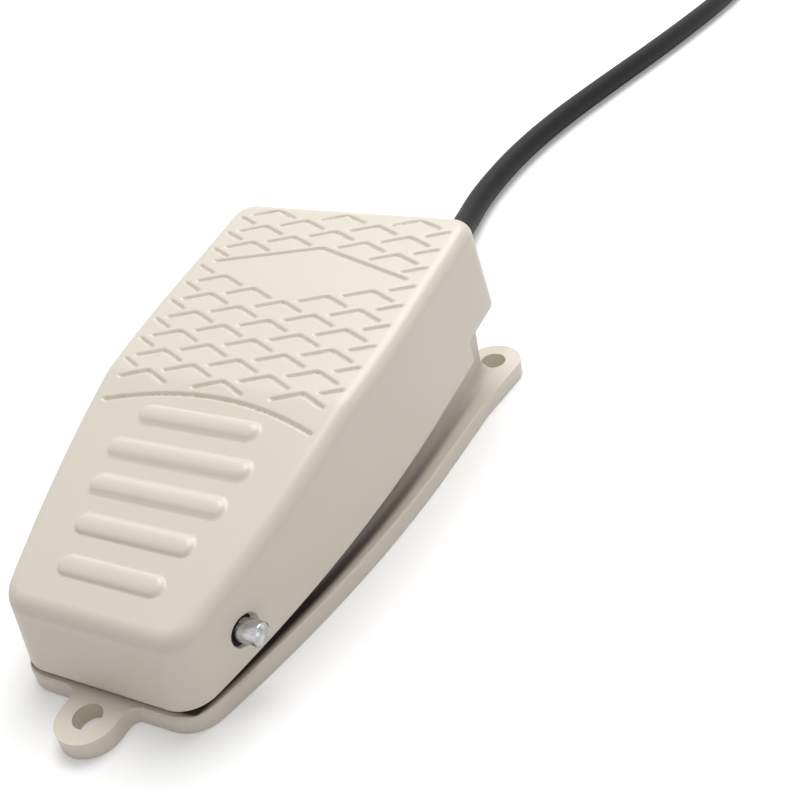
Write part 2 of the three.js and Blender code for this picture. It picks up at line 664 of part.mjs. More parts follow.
const CLAMP_TOE_Y = RISER_TOE_Y - RISER_WALL - RELIEF_COLLAR - 3;
const CLAMP_MIDDLE_Y = CLAMP_TOE_Y - CLAMP_LENGTH / 2;
const CORD_INNER_Y = CLAMP_TOE_Y - CLAMP_LENGTH - 3;
const CLAMP_SEAT = CORD_EXIT_HEIGHT + CORD_RADIUS - 1.2;
const EARTH_X = 22;
const EARTH_Y = 94;
const EARTH_BOSS_TOP = FLOOR + 3;
const BRACKET_FACE = SWITCH_WIDTH / 2 + GAP;
const BRACKET_SCREW_X = BRACKET_FACE + BRACKET_THICKNESS + BRACKET_FOOT / 2;
const BRACKET_SCREWS = [SWITCH_MIDDLE_Y - SWITCH_HOLE_SPACING / 3, SWITCH_MIDDLE_Y + SWITCH_HOLE_SPACING / 3];

function floorBosses() {
  const saddle = block(
    -CLAMP_SCREW_X - 3,
    CLAMP_SCREW_X + 3,
    CLAMP_TOE_Y - CLAMP_LENGTH,
    CLAMP_TOE_Y,
    FLOOR - 1,
    CLAMP_SEAT,
  );
  return [
    post(SPIGOT_RADIUS, 0, SPRING_Y, FLOOR - 1, FLOOR + 4),
    post(BUFFER_RADIUS, BUFFER_X, BUFFER_Y, FLOOR - 1, BUFFER_POST_TOP),
    post(BUFFER_RADIUS, -BUFFER_X, BUFFER_Y, FLOOR - 1, BUFFER_POST_TOP),
    post(FLOOR_SCREW_RADIUS + 2.4, EARTH_X, EARTH_Y, FLOOR - 1, EARTH_BOSS_TOP),
    saddle,
  ];
}

function reliefPocket(y0, y1) {
  const inset = outline(
    even(-RELIEF_RIM),
    TREADLE_HEEL_Y,
    FLANGE_TOE_Y - FLANGE_TOE_LIP,
    HEEL_CORNER,
    TOE_CORNER + RELIEF_RIM,
  );
  const pocket = ladder([level(inset, even(-1)), level(inset, even(BASE_RELIEF))]);
  return keep(pocket, block(-60, 60, y0, y1, -2, BASE_RELIEF + 1));
}

const blindHole = (x, y, top) =>
  post(FLOOR_SCREW_RADIUS + FIT, x, y, top - FLOOR_SCREW_DEPTH - GAP, top + 1, 12);

// Web that runs tangent from the toe ear's round end to the flange's straight side.
function toeWeb() {
  const x = TREADLE_HALF_WIDTH + WALL_DRAFT + FLANGE_TOE_LIP - 0.6;
  const y = TOE_EAR_Y - TOE_WEB_LENGTH;
  const reach = Math.hypot(TOE_EAR_X - x, TOE_WEB_LENGTH);
  const turn = Math.asin((TOE_EAR_RADIUS - 0.05) / reach);
  const angle = Math.atan2(TOE_WEB_LENGTH, TOE_EAR_X - x) - turn;
  const length = reach * Math.cos(turn);
  const shape = new THREE.Shape();
  shape.moveTo(x, y);
  shape.lineTo(x + length * Math.cos(angle), y + length * Math.sin(angle));
  shape.lineTo(TOE_EAR_X, TOE_EAR_Y - 0.5);
  shape.lineTo(x - 6, y + 1);
  return new THREE.ExtrudeGeometry(shape, { depth: FLANGE_THICKNESS, bevelEnabled: false });
}

function baseCasting() {
  const toeEar = (side) =>
    post(TOE_EAR_RADIUS, side * TOE_EAR_X, TOE_EAR_Y, 0, FLANGE_THICKNESS, 48);
  const earHole = (x, y) => post(EAR_HOLE_RADIUS, x, y, -1, FLANGE_THICKNESS + 1, 36);
  const body = join(
    flangePlate(),
    heelEar(),
    toeEar(1),
    toeEar(-1),
    toeWeb(),
    solidMirror(toeWeb()),
    riser(),
    ...pinBosses(),
    ...floorBosses(),
  );
  const middle = -PIN_Y;
  return cut(
    body,
    earHole(0, HEEL_EAR_Y),
    earHole(TOE_EAR_X, TOE_EAR_Y),
    earHole(-TOE_EAR_X, TOE_EAR_Y),
    crossBar(PIN_RADIUS + FIT, -60, 60, 0, PIN_HEIGHT),
    reliefPocket(TREADLE_HEEL_Y - 20, middle - RELIEF_LAND),
    reliefPocket(middle + RELIEF_LAND, TREADLE_TOE_Y + 20),
    longBar(RELIEF_NECK_RADIUS + FIT, 0, RISER_TOE_Y - RISER_WALL - 2, RISER_TOE_Y + 5, CORD_EXIT_HEIGHT),
    longBar(RELIEF_COLLAR_RADIUS + GAP, 0, RISER_TOE_Y, RISER_TOE_Y + 5, CORD_EXIT_HEIGHT),
    longBar(CORD_RADIUS + FIT, 0, CORD_INNER_Y - 1, RISER_TOE_Y - RISER_WALL, CORD_EXIT_HEIGHT),
    blindHole(CLAMP_SCREW_X, CLAMP_MIDDLE_Y, CLAMP_SEAT),
    blindHole(-CLAMP_SCREW_X, CLAMP_MIDDLE_Y, CLAMP_SEAT),
    blindHole(EARTH_X, EARTH_Y, EARTH_BOSS_TOP),
    ...BRACKET_SCREWS.map((y) => blindHole(BRACKET_SCREW_X, y, FLOOR)),
  );
}

// ---- pivot pin and its clips --------------------------------------------------------------

const CLIP_X = PIN_BOSS_FACE - GAP - CLIP_THICKNESS / 2;

function pivotPin() {
  const half = halfWidth(0) + WALL_DRAFT / 2 + PIN_OVERHANG;
  const groove = PIN_RADIUS - CLIP_GROOVE_DEPTH;
  const halfGroove = CLIP_THICKNESS / 2 + FIT;
  const halfProfile = [
    [PIN_RADIUS, CLIP_X - halfGroove],
    [groove, CLIP_X - halfGroove],
    [groove, CLIP_X + halfGroove],
    [PIN_RADIUS, CLIP_X + halfGroove],
    [PIN_RADIUS, half - PIN_CHAMFER],
    [PIN_RADIUS - PIN_CHAMFER, half],
    [0, half],
  ];
  const lower = halfProfile.map(([r, x]) => [r, -x]).reverse();
  const points = [...lower, ...halfProfile].map(([r, x]) => new THREE.Vector2(r, x));
  return new THREE.LatheGeometry(points, 24).rotateZ(-Math.PI / 2).translate(0, 0, PIN_HEIGHT);
}

// Open ring snapped into the pin's groove.
function pinClip(side) {
  const inner = PIN_RADIUS - CLIP_GROOVE_DEPTH + FIT;
  const outer = inner + CLIP_WIDTH;
  const opening = Math.PI / 5;
  const shape = new THREE.Shape();
  shape.absarc(0, 0, outer, opening, 2 * Math.PI - opening, false);
  shape.absarc(0, 0, inner, 2 * Math.PI - opening, opening, true);
  const clip = new THREE.ExtrudeGeometry(shape, {
    depth: CLIP_THICKNESS,
    bevelEnabled: false,
    curveSegments: 14,
  });
  return clip
    .translate(0, 0, -CLIP_THICKNESS / 2)
    .rotateY(Math.PI / 2)
    .translate(side * CLIP_X, 0, PIN_HEIGHT);
}

// ---- return spring and stop buffers -------------------------------------------------------

// Height of the spring's upper end: under the lowest edge of its tilted seat.
const SPRING_TOP =
  PIN_HEIGHT +
  (SPRING_Y - SPRING_RADIUS - SPRING_WIRE) * Math.sin(REST_TILT) +
  SPRING_SEAT * Math.cos(REST_TILT) -
  GAP;

class SpringCurve extends THREE.Curve {
  // Closed end coils, open coils between them.
  getPoint(t, target = new THREE.Vector3()) {
    const low = FLOOR + GAP + SPRING_WIRE;
    const high = SPRING_TOP - SPRING_WIRE;
    const endTurn = 1 / SPRING_TURNS;
    const closed = (2 * SPRING_WIRE) / (high - low);
    const rise = t < endTurn
      ? (closed * t) / endTurn
      : t > 1 - endTurn
        ? 1 - (closed * (1 - t)) / endTurn
        : closed + ((1 - 2 * closed) * (t - endTurn)) / (1 - 2 * endTurn);
    const angle = 2 * Math.PI * SPRING_TURNS * t;
    return target.set(
      SPRING_RADIUS * Math.cos(angle),
      SPRING_Y + SPRING_RADIUS * Math.sin(angle),
      low + (high - low) * rise,
    );
  }
}

const returnSpring = () => tube(new SpringCurve(), SPRING_WIRE, SPRING_TURNS * 12, 6);

function stopBuffer(side) {
  const low = BUFFER_POST_TOP + GAP;
  const profile = [
    [0, low],
    [BUFFER_RADIUS, low],
    [BUFFER_RADIUS, BUFFER_TOP - 1],
    [BUFFER_RADIUS - 1, BUFFER_TOP],
    [0, BUFFER_TOP],
  ];
  const points = profile.map(([r, y]) => new THREE.Vector2(r, y));
  return new THREE.LatheGeometry(points, 20)
    .rotateX(Math.PI / 2)
    .translate(side * BUFFER_X, BUFFER_Y, 0);
}

// ---- microswitch --------------------------------------------------------------------------

const SWITCH_SCREWS = [-SWITCH_HOLE_SPACING / 2, SWITCH_HOLE_SPACING / 2].map(
  (dy) => SWITCH_MIDDLE_Y + dy,
);
const SWITCH_SCREW_Z = SWITCH_FLOOR + SWITCH_SCREW_HEIGHT;
const SWITCH_HALF = SWITCH_WIDTH / 2;
const TERMINAL_HEIGHTS = TERMINAL_LIFTS.map((z) => SWITCH_FLOOR + z);
const PLUNGER_Y = LEVER_PIVOT_Y - PLUNGER_FROM_PIVOT;
const LUG_INNER = LEVER_HALF_WIDTH + GAP;
const COVER_FACE = -SWITCH_HALF - GAP - SWITCH_COVER;

const switchHoles = (x0, x1) =>
  SWITCH_SCREWS.map((y) => crossBar(SWITCH_SCREW_RADIUS + FIT, x0, x1, y, SWITCH_SCREW_Z, 12));

function switchCase() {
  const lug = (side) => {
    const [x0, x1] = [side * LUG_INNER, side * (LUG_INNER + 1.4)].sort((a, b) => a - b);
    const top = LEVER_PIVOT_HEIGHT + LEVER_BARREL_RADIUS;
    return block(x0, x1, LEVER_PIVOT_Y - 1.8, LEVER_PIVOT_Y + 1.8, SWITCH_TOP - 1, top);
  };
  const box = block(-SWITCH_HALF, SWITCH_HALF, SWITCH_HEEL_Y, SWITCH_TOE_Y, SWITCH_FLOOR, SWITCH_TOP);
  const slots = TERMINAL_HEIGHTS.map((z) =>
    block(
      -TERMINAL_HALF_WIDTH - FIT,
      TERMINAL_HALF_WIDTH + FIT,
      SWITCH_TOE_Y - TERMINAL_SLOT_DEPTH,
      SWITCH_TOE_Y + 1,
      z - TERMINAL_THICKNESS / 2 - FIT,
      z + TERMINAL_THICKNESS / 2 + FIT,
    ),
  );
  return cut(
    join(box, lug(1), lug(-1)),
    ...slots,
    ...switchHoles(-SWITCH_HALF - 1, SWITCH_HALF + 1),
    post(PLUNGER_RADIUS + FIT, 0, PLUNGER_Y, SWITCH_TOP - PLUNGER_DEPTH, SWITCH_TOP + 1, 16),
    crossBar(LEVER_PIN_RADIUS + FIT, -SWITCH_HALF - 1, SWITCH_HALF + 1, LEVER_PIVOT_Y, LEVER_PIVOT_HEIGHT, 12),
    block(-LUG_INNER, LUG_INNER, LEVER_PIVOT_Y - 3, SWITCH_TOE_Y + 1, SWITCH_TOP - 0.9, SWITCH_TOP + 1),
  );
}

function switchCover() {
  const plate = block(
    COVER_FACE,
    -SWITCH_HALF - GAP,
    SWITCH_HEEL_Y,
    SWITCH_TOE_Y,
    SWITCH_FLOOR,
    SWITCH_TOP,
  );
  return cut(plate, ...switchHoles(COVER_FACE - 1, -SWITCH_HALF));
}

function switchPlunger() {
  const profile = [
    [0, SWITCH_TOP - PLUNGER_DEPTH + 1.5],
    [PLUNGER_RADIUS, SWITCH_TOP - PLUNGER_DEPTH + 1.5],
    [PLUNGER_RADIUS, SWITCH_TOP + PLUNGER_STANDS - 0.5],
    [PLUNGER_RADIUS - 0.5, SWITCH_TOP + PLUNGER_STANDS],
    [0, SWITCH_TOP + PLUNGER_STANDS],
  ];
  const points = profile.map(([r, y]) => new THREE.Vector2(r, y));
  return new THREE.LatheGeometry(points, 16).rotateX(Math.PI / 2).translate(0, PLUNGER_Y, 0);
}

// Flat leaf with a rolled barrel at its pivot, raised to its free position.
function switchLever() {
  const leaf = block(
    -LEVER_HALF_WIDTH,
    LEVER_HALF_WIDTH,
    LEVER_PIVOT_Y - LEVER_REACH,
    LEVER_PIVOT_Y,
    LEVER_UNDERSIDE,
    LEVER_UNDERSIDE + LEVER_THICKNESS,
  );
  const barrel = crossBar(
    LEVER_BARREL_RADIUS,
    -LEVER_HALF_WIDTH,
    LEVER_HALF_WIDTH,
    LEVER_PIVOT_Y,
    LEVER_PIVOT_HEIGHT,
    20,
  );
  const bore = crossBar(LEVER_PIN_RADIUS + FIT, -9, 9, LEVER_PIVOT_Y, LEVER_PIVOT_HEIGHT, 20);
  return cut(join(leaf, barrel), bore)
    .translate(0, -LEVER_PIVOT_Y, -LEVER_PIVOT_HEIGHT)
    .rotateX(-LEVER_LIFT)
    .translate(0, LEVER_PIVOT_Y, LEVER_PIVOT_HEIGHT);
}

const leverPin = () => {
  const half = LUG_INNER + 1.4;
  return crossBar(LEVER_PIN_RADIUS, -half, half, LEVER_PIVOT_Y, LEVER_PIVOT_HEIGHT, 16);
};

// Solder tab with a hole near its end.
function terminal(z) {
  const start = SWITCH_TOE_Y - TERMINAL_SLOT_DEPTH + GAP;
  const end = SWITCH_TOE_Y + TERMINAL_LENGTH;
  const half = TERMINAL_THICKNESS / 2;
  const blade = block(-TERMINAL_HALF_WIDTH, TERMINAL_HALF_WIDTH, start, end, z - half, z + half);
  return cut(blade, post(0.8, 0, end - 2, z - 2, z + 2, 12));
}

function switchBracket() {
  const y0 = SWITCH_HEEL_Y + BRACKET_MARGIN - SWITCH_SCREW_HEIGHT - 1;
  const y1 = SWITCH_TOE_Y - BRACKET_MARGIN + SWITCH_SCREW_HEIGHT + 1;
  const foot = FLOOR + GAP;
  const wall = BRACKET_FACE + BRACKET_THICKNESS;
  const upright = block(BRACKET_FACE, wall, y0, y1, foot, SWITCH_TOP - 2);
  const sole = block(BRACKET_FACE, wall + BRACKET_FOOT, y0, y1, foot, foot + BRACKET_THICKNESS);
  return cut(
    join(upright, sole),
    ...switchHoles(BRACKET_FACE - 1, wall + 1),
    ...BRACKET_SCREWS.map((y) =>
      post(FLOOR_SCREW_RADIUS + FIT, BRACKET_SCREW_X, y, 0, foot + 5, 12),
    ),
  );
}

function switchScrew(y) {
  const head = COVER_FACE - GAP;
  const end = BRACKET_FACE + BRACKET_THICKNESS + GAP + 2.6;
  const made = screw(SWITCH_SCREW_RADIUS, 2.7, SCREW_HEAD_HEIGHT, end - head);
  return made.rotateY(-Math.PI / 2).translate(head, y, SWITCH_SCREW_Z);
}

function switchNut(y) {
  const x = BRACKET_FACE + BRACKET_THICKNESS + GAP;
  return hexagon(2.9, SWITCH_SCREW_RADIUS + FIT, 0, 2)
    .rotateY(Math.PI / 2)
    .translate(x, y, SWITCH_SCREW_Z);
}

const floorScrew = (x, y, seat, through) =>
  screw(FLOOR_SCREW_RADIUS, 2.7, SCREW_HEAD_HEIGHT, FLOOR_SCREW_DEPTH + through).translate(
    x,
    y,
    seat + through,
  );

// ---- cord, strain relief, clamp, cores ----------------------------------------------------

// Turned sleeve about the cord: inner collar, neck in the wall, outer collar, tapered tail.
function strainRelief() {
  const bore = CORD_RADIUS + GAP;
  const wallIn = RISER_TOE_Y - RISER_WALL - GAP;
  const wallOut = RISER_TOE_Y + GAP;
  const profile = [
    [bore, wallIn - RELIEF_COLLAR],
    [RELIEF_COLLAR_RADIUS, wallIn - RELIEF_COLLAR],
    [RELIEF_COLLAR_RADIUS, wallIn],
    [RELIEF_NECK_RADIUS, wallIn],
    [RELIEF_NECK_RADIUS, wallOut],
    [RELIEF_COLLAR_RADIUS, wallOut],
    [RELIEF_COLLAR_RADIUS, wallOut + RELIEF_COLLAR],
    [RELIEF_TIP_RADIUS, wallOut + RELIEF_LENGTH],
    [bore, wallOut + RELIEF_LENGTH],
    [bore, wallIn - RELIEF_COLLAR],
  ];
  const points = profile.map(([r, y]) => new THREE.Vector2(r, y));
  return new THREE.LatheGeometry(points, 24).translate(0, 0, CORD_EXIT_HEIGHT);
}

function cordClamp() {
  const low = CORD_EXIT_HEIGHT + CORD_RADIUS + GAP;
  const y0 = CLAMP_TOE_Y - CLAMP_LENGTH;
  const plate = block(-CLAMP_HALF_WIDTH, CLAMP_HALF_WIDTH, y0, CLAMP_TOE_Y, low, low + CLAMP_THICKNESS);
  const pad = (side) => {
    const [x0, x1] = [side * (CLAMP_SCREW_X - 2.4), side * CLAMP_HALF_WIDTH].sort((a, b) => a - b);
    return block(x0, x1, y0, CLAMP_TOE_Y, CLAMP_SEAT + GAP, low + 0.5);
  };
  const hole = (side) =>
    post(FLOOR_SCREW_RADIUS + FIT, side * CLAMP_SCREW_X, CLAMP_MIDDLE_Y, 0, low + 5, 12);
  return cut(join(plate, pad(1), pad(-1)), hole(1), hole(-1));
}

function clampScrew(side) {
  const top = CORD_EXIT_HEIGHT + CORD_RADIUS + GAP + CLAMP_THICKNESS + GAP;
  return floorScrew(side * CLAMP_SCREW_X, CLAMP_MIDDLE_Y, CLAMP_SEAT, top - CLAMP_SEAT);
}

function earthTag() {
  const z = EARTH_BOSS_TOP + GAP;
  const barrel = block(-1.6, 1.6, -8.5, -3.1, z, z + 1.6);
  const tag = cut(
    join(post(3.4, 0, 0, z, z + 0.8, 20), barrel),
    post(FLOOR_SCREW_RADIUS + FIT, 0, 0, z - 2, z + 3, 16),
  );
  return tag.rotateZ(Math.PI).translate(EARTH_X, EARTH_Y, 0);
}

const earthScrew = () => floorScrew(EARTH_X, EARTH_Y, EARTH_BOSS_TOP, GAP + 0.8 + GAP);

// Insulated core from the cord's inner end to a switch terminal, round one side of the spring.
function switchCore(side, lift, terminalHeight) {
  const start = CORD_INNER_Y - GAP;
  const joint = SWITCH_TOE_Y + TERMINAL_LENGTH - 1.5;
  const clear = SPRING_RADIUS + SPRING_WIRE + CORE_RADIUS + 2;
  const height = CORD_EXIT_HEIGHT + lift;
  return smoothCurve([
    [side * 2.2, start, height],
    [side * 2.3, start - 1, height],
    [side * 6, start - 2.6, height],
    [side * clear, SPRING_Y + 5, height],
    [side * clear, SPRING_Y - 4, (height + terminalHeight) / 2],
    [side * 8, joint, terminalHeight],
    [side * 5.5, joint, terminalHeight],
    [side * (TERMINAL_HALF_WIDTH + GAP), joint, terminalHeight],
  ]);
}

// Earth core, low along the floor to the ring tag's barrel.
function earthCore() {
  const start = CORD_INNER_Y - GAP;
  const height = EARTH_BOSS_TOP + GAP + 0.8;
  return smoothCurve([
    [0, start, CORD_EXIT_HEIGHT - 2.6],
    [0, start - 1, CORD_EXIT_HEIGHT - 2.8],
    [3.2, start - 3.2, FLOOR + 3.8],
    [12, start - 2.6, FLOOR + 2.2],
    [EARTH_X - 4, start - 1.6, height - 0.5],
    [EARTH_X, EARTH_Y + 11.6, height],
    [EARTH_X, EARTH_Y + 8.5 + GAP, height],
  ]);
}

// The cord's free route in the part's own frame, from the clamp to the start of the coil.
const CORD_ROUTE = [
  [0, 58.6, 12],
  [0, 68, 12],
  [0, 78, 12],
  [0, 90, 12],
  [0, 104, 12],
  [-1.1, 122, 10.6],
  [-4.0, 141, 7.4],
  [-7.6, 160, 5.1],
  [-10.0, 179, 4.6],
  [-10.4, 199, 4.6],
  [-9.2, 221, 4.6],
  [-5.6, 247, 4.6],
  [-0.2, 273, 4.6],
  [6.6, 301, 4.6],
  [14.0, 331, 4.6],
  [21.2, 363, 4.6],
  [27.4, 395, 4.6],
  [31.6, 427, 4.6],
  [33.4, 458, 4.6],
  [33.8, 475, 4.6],
  [33.9, 489.7, 4.6],
];
const COIL_X = -30.2; // middle of the coil
const COIL_Y = 490;
const COIL_START = 64.1; // radius of its first turn where the cord enters it
const COIL_END = 36.2;
const COIL_TURNS = 3;
const COIL_PITCH = (COIL_START - COIL_END) / COIL_TURNS;

const cordRun = () => tube(smoothCurve(CORD_ROUTE), CORD_RADIUS, 34, 10);

const coilOuter = (share) => COIL_START + CORD_RADIUS - COIL_PITCH * share;
const coilInner = (share) => COIL_END + COIL_PITCH * (1 - share) - CORD_RADIUS;

// Flat coil as one spiral band, stepped where the cord enters it and where it ends.
function cordCoil() {
  const spiral = (radius, reversed) => {
    const points = [];
    for (let i = 0; i <= 56; i++) {
      const share = (reversed ? 56 - i : i) / 56;
      const angle = 2 * Math.PI * share;
      points.push(new THREE.Vector2(radius(share) * Math.cos(angle), radius(share) * Math.sin(angle)));
    }
    return points;
  };
  const shape = new THREE.Shape(spiral(coilOuter, false));
  shape.holes.push(new THREE.Path(spiral(coilInner, true)));
  const band = new THREE.ExtrudeGeometry(shape, { depth: 2 * CORD_RADIUS, bevelEnabled: false });
  return band.translate(COIL_X, COIL_Y, 0);
}

// Strap over the coil's far side, its ends tucked down beside the turns.
function cordTie() {
  const inner = coilInner(0.25) - 0.8;
  const outer = coilOuter(0.25) + 0.5;
  const top = 2 * CORD_RADIUS + GAP;
  const wide = TIE_HALF_WIDTH;
  const strap = block(-wide, wide, inner - TIE_THICKNESS, outer + TIE_THICKNESS, 0, top + TIE_THICKNESS);
  const inside = block(-wide - 1, wide + 1, inner, outer, -1, top);
  return cut(strap, inside).translate(COIL_X, COIL_Y, 0);
}

// Bare core beyond the cord's inner end; index 0 lies nearest the coil's middle.
function coreTail(index) {
  const start = COIL_END + 2.6 * (index - 1);
  const low = CORE_RADIUS + 0.05;
  const high = 2 * CORD_RADIUS - 3 - 1.4 * Math.abs(index - 1);
  const points = [
    [start, GAP, high],
    [start, 2, high],
    [start - 0.3, 4, high - 0.6],
    [start - 2.4 + 0.3 * index, 9, 1.9],
    [start - 6.6 + 0.6 * index, 15, low],
    [start - 12.4 + 0.8 * index, 19.5 + 0.8 * index, low],
    [start - 19.5 + 0.5 * index, 21.6 + 2.4 * index, low],
  ];
  return tube(smoothCurve(points), CORE_RADIUS, 12, 8).translate(COIL_X, COIL_Y, 0);
}

// ---- assembly -----------------------------------------------------------------------------

function addPiece(group, name, material, geometry) {
  const mesh = new THREE.Mesh(geometry, material);
  mesh.name = name;
  group.add(mesh);
}

const footSwitch = new THREE.Group();
const base = new THREE.Group();
base.position.set(0, PIN_Y, 0);
const treadle = new THREE.Group();
treadle.position.set(0, 0, PIN_HEIGHT);
treadle.rotation.x = REST_TILT;
base.add(treadle);
footSwitch.add(base);

addPiece(base, "base_casting", ENAMEL, baseCasting());
addPiece(base, "pivot_pin", BRIGHT_STEEL, pivotPin());
addPiece(base, "return_spring", SPRING_STEEL, returnSpring());
addPiece(base, "switch_case", PHENOLIC, switchCase());
addPiece(base, "switch_cover", PHENOLIC, switchCover());
addPiece(base, "switch_plunger", RED_PLASTIC, switchPlunger());
addPiece(base, "switch_lever", SPRING_STEEL, switchLever());
addPiece(base, "lever_pin", BRIGHT_STEEL, leverPin());
addPiece(base, "switch_bracket", ZINC_STEEL, switchBracket());
["common", "open", "closed"].forEach((name, i) =>
  addPiece(base, `terminal_${name}`, BRASS, terminal(TERMINAL_HEIGHTS[i])),
);
["heel", "toe"].forEach((end, i) => {
  const bracketSeat = GAP + BRACKET_THICKNESS + GAP;
  addPiece(base, `switch_screw_${end}`, ZINC_STEEL, switchScrew(SWITCH_SCREWS[i]));
  addPiece(base, `switch_nut_${end}`, ZINC_STEEL, switchNut(SWITCH_SCREWS[i]));
  addPiece(
    base,
    `bracket_screw_${end}`,
    ZINC_STEEL,
    floorScrew(BRACKET_SCREW_X, BRACKET_SCREWS[i], FLOOR, bracketSeat),
  );
});
for (const [name, side] of [["left", -1], ["right", 1]]) {
  addPiece(base, `pin_clip_${name}`, SPRING_STEEL, pinClip(side));
  addPiece(base, `stop_buffer_${name}`, BLACK_RUBBER, stopBuffer(side));
  addPiece(base, `clamp_screw_${name}`, ZINC_STEEL, clampScrew(side));
  addPiece(treadle, `pivot_bush_${name}`, BLACK_NYLON, pivotBush(side));
}
addPiece(base, "strain_relief", BLACK_RUBBER, strainRelief());
addPiece(base, "cord_clamp", ZINC_STEEL, cordClamp());
addPiece(base, "earth_tag", BRASS, earthTag());
addPiece(base, "earth_screw", ZINC_STEEL, earthScrew());
addPiece(base, "core_common", BROWN_PVC, tube(switchCore(-1, 1.2, TERMINAL_HEIGHTS[0]), CORE_RADIUS, 18, 8));
addPiece(base, "core_open", BLUE_PVC, tube(switchCore(1, 1.2, TERMINAL_HEIGHTS[1]), CORE_RADIUS, 18, 8));
addPiece(base, "core_earth", EARTH_PVC, tube(earthCore(), CORE_RADIUS, 18, 8));

addPiece(treadle, "treadle_casting", ENAMEL, treadleCasting());
addPiece(treadle, "adjusting_screw", ZINC_STEEL, adjustingScrew());
addPiece(treadle, "lock_nut", ZINC_STEEL, lockNut());
addPiece(treadle, "rating_label", LABEL_FILM, ratingLabel());

addPiece(footSwitch, "cord_run", SHEATH, cordRun());
addPiece(footSwitch, "cord_coil", SHEATH, cordCoil());
addPiece(footSwitch, "cord_tie", BLACK_NYLON, cordTie());
["common", "open", "earth"].forEach((name, i) =>
  addPiece(footSwitch, `tail_${name}`, [BROWN_PVC, BLUE_PVC, EARTH_PVC][i], coreTail(i)),
);

export default footSwitch;
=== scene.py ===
"""Cast foot switch: enamelled treadle and base, bright hinge pin, trailing cord with its coil.

Places are written in millimetres, as the parts were drawn, and turned to metres where a mesh is made.
"""

from math import cos, pi, radians, sin, tan

import bmesh
import bpy
import numpy as np
from mathutils import Matrix, Vector


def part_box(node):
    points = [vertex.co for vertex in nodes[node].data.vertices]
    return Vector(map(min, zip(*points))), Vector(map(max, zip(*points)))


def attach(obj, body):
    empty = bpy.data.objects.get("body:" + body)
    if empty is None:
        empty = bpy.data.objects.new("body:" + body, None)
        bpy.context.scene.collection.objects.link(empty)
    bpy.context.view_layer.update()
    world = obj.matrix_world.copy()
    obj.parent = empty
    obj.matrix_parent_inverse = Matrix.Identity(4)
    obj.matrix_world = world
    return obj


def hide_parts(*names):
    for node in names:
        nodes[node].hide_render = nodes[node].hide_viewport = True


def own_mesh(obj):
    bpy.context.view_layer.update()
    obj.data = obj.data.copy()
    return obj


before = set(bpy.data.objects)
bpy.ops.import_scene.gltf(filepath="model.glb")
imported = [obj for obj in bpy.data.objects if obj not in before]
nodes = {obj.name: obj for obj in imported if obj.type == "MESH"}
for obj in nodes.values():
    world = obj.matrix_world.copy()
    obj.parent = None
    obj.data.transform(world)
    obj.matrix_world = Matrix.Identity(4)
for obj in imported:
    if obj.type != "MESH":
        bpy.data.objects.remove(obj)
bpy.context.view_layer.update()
MM = 0.001

# ---- sizes of the pedal, in millimetres ----------------------------------------------------

HALF_WIDTH = 40.0
HEEL_HALF_WIDTH = 26.4
WIDEST_Y = 85.6
HEEL_Y = -16.4
TOE_Y = 129.6
HEEL_LEAN = 2.8
TOE_LEAN = 3.3
DRAFT = 0.7
HEEL_CORNER = 9.0
TOE_CORNER = 7.0
BEND_Y = 52.0
BEND_HEIGHT = 24.8
TOE_SLOPE = radians(2.5)
HEEL_SLOPE = radians(11.6)
EDGE_ROUNDING = 4.0
SKIRT_FOOT = -8.7
STEP_Y = 109.6
STEP_FOOT = -1.5
WALL = 2.5
ROOF = 2.8
REST_TILT = radians(4.75)
PIN_Y = -51.15
PIN_HEIGHT = 16.6
PIN_RADIUS = 3.0
PIN_END = 36.17
BUSH_HOLE = 4.2
BUSH_SEAT_X = 28.6  # flat bottom of the seat pressed into each side wall
FITTING_GAP = 0.3
FLANGE = 5.0
SPRING_WIRE = 0.8
SPRING_TURNS = 8
ARCH_RADIUS = 8.0
CORD_HEIGHT = 12.0
CORD_EXIT_Y = 74.65  # outer face of the toe wall of the base
CORD_RADIUS = 4.5
GLAND_COLLAR = 6.4  # radii of the cord gland
GLAND_NECK = 5.6
GLAND_TIP = 5.3
GLAND_RIM = 1.6  # length of its outer collar

GROOVE_HALF = 0.72
GROOVE_DEPTH = 0.95
COLUMN = 12.0
ROW = 4.035
FIRST_ROW = 73.6
LAST_ROW = 18
ARM_X = 7.2
ARM_S = 3.3
CREST_X = 31.1
CREST_S = 10.0
CREST_ROW = 4
ARC_HALF = 31.7
ARC_SAG = 0.0058
ARC_BEHIND_BEND = 4.4
BARS = (18.1, 21.5, 20.1, 17.4, 15.3)
BAR_FIRST = 12.5
BAR_PITCH = 11.05
BAR_HALF_WIDTH = 2.7
BAR_RISE = 1.0


# ---- camera --------------------------------------------------------------------------------

camera_data = bpy.data.cameras.new("camera")
camera_data.lens = 52.01
camera_data.sensor_width = 36
camera = bpy.data.objects.new("camera", camera_data)
right, up, back = (0.88431, 0.43474, -0.17031), (-0.13139, 0.58173, 0.8027), (0.44804, -0.68745, 0.57155)
turn = Matrix((right, up, back)).transposed()
camera.matrix_world = Matrix.Translation((0.17215, -0.18555, 0.20206)) @ turn.to_4x4()
bpy.context.scene.collection.objects.link(camera)
bpy.context.scene.camera = camera
bpy.context.scene.view_settings.view_transform = "Standard"


# ---- mesh tools ----------------------------------------------------------------------------

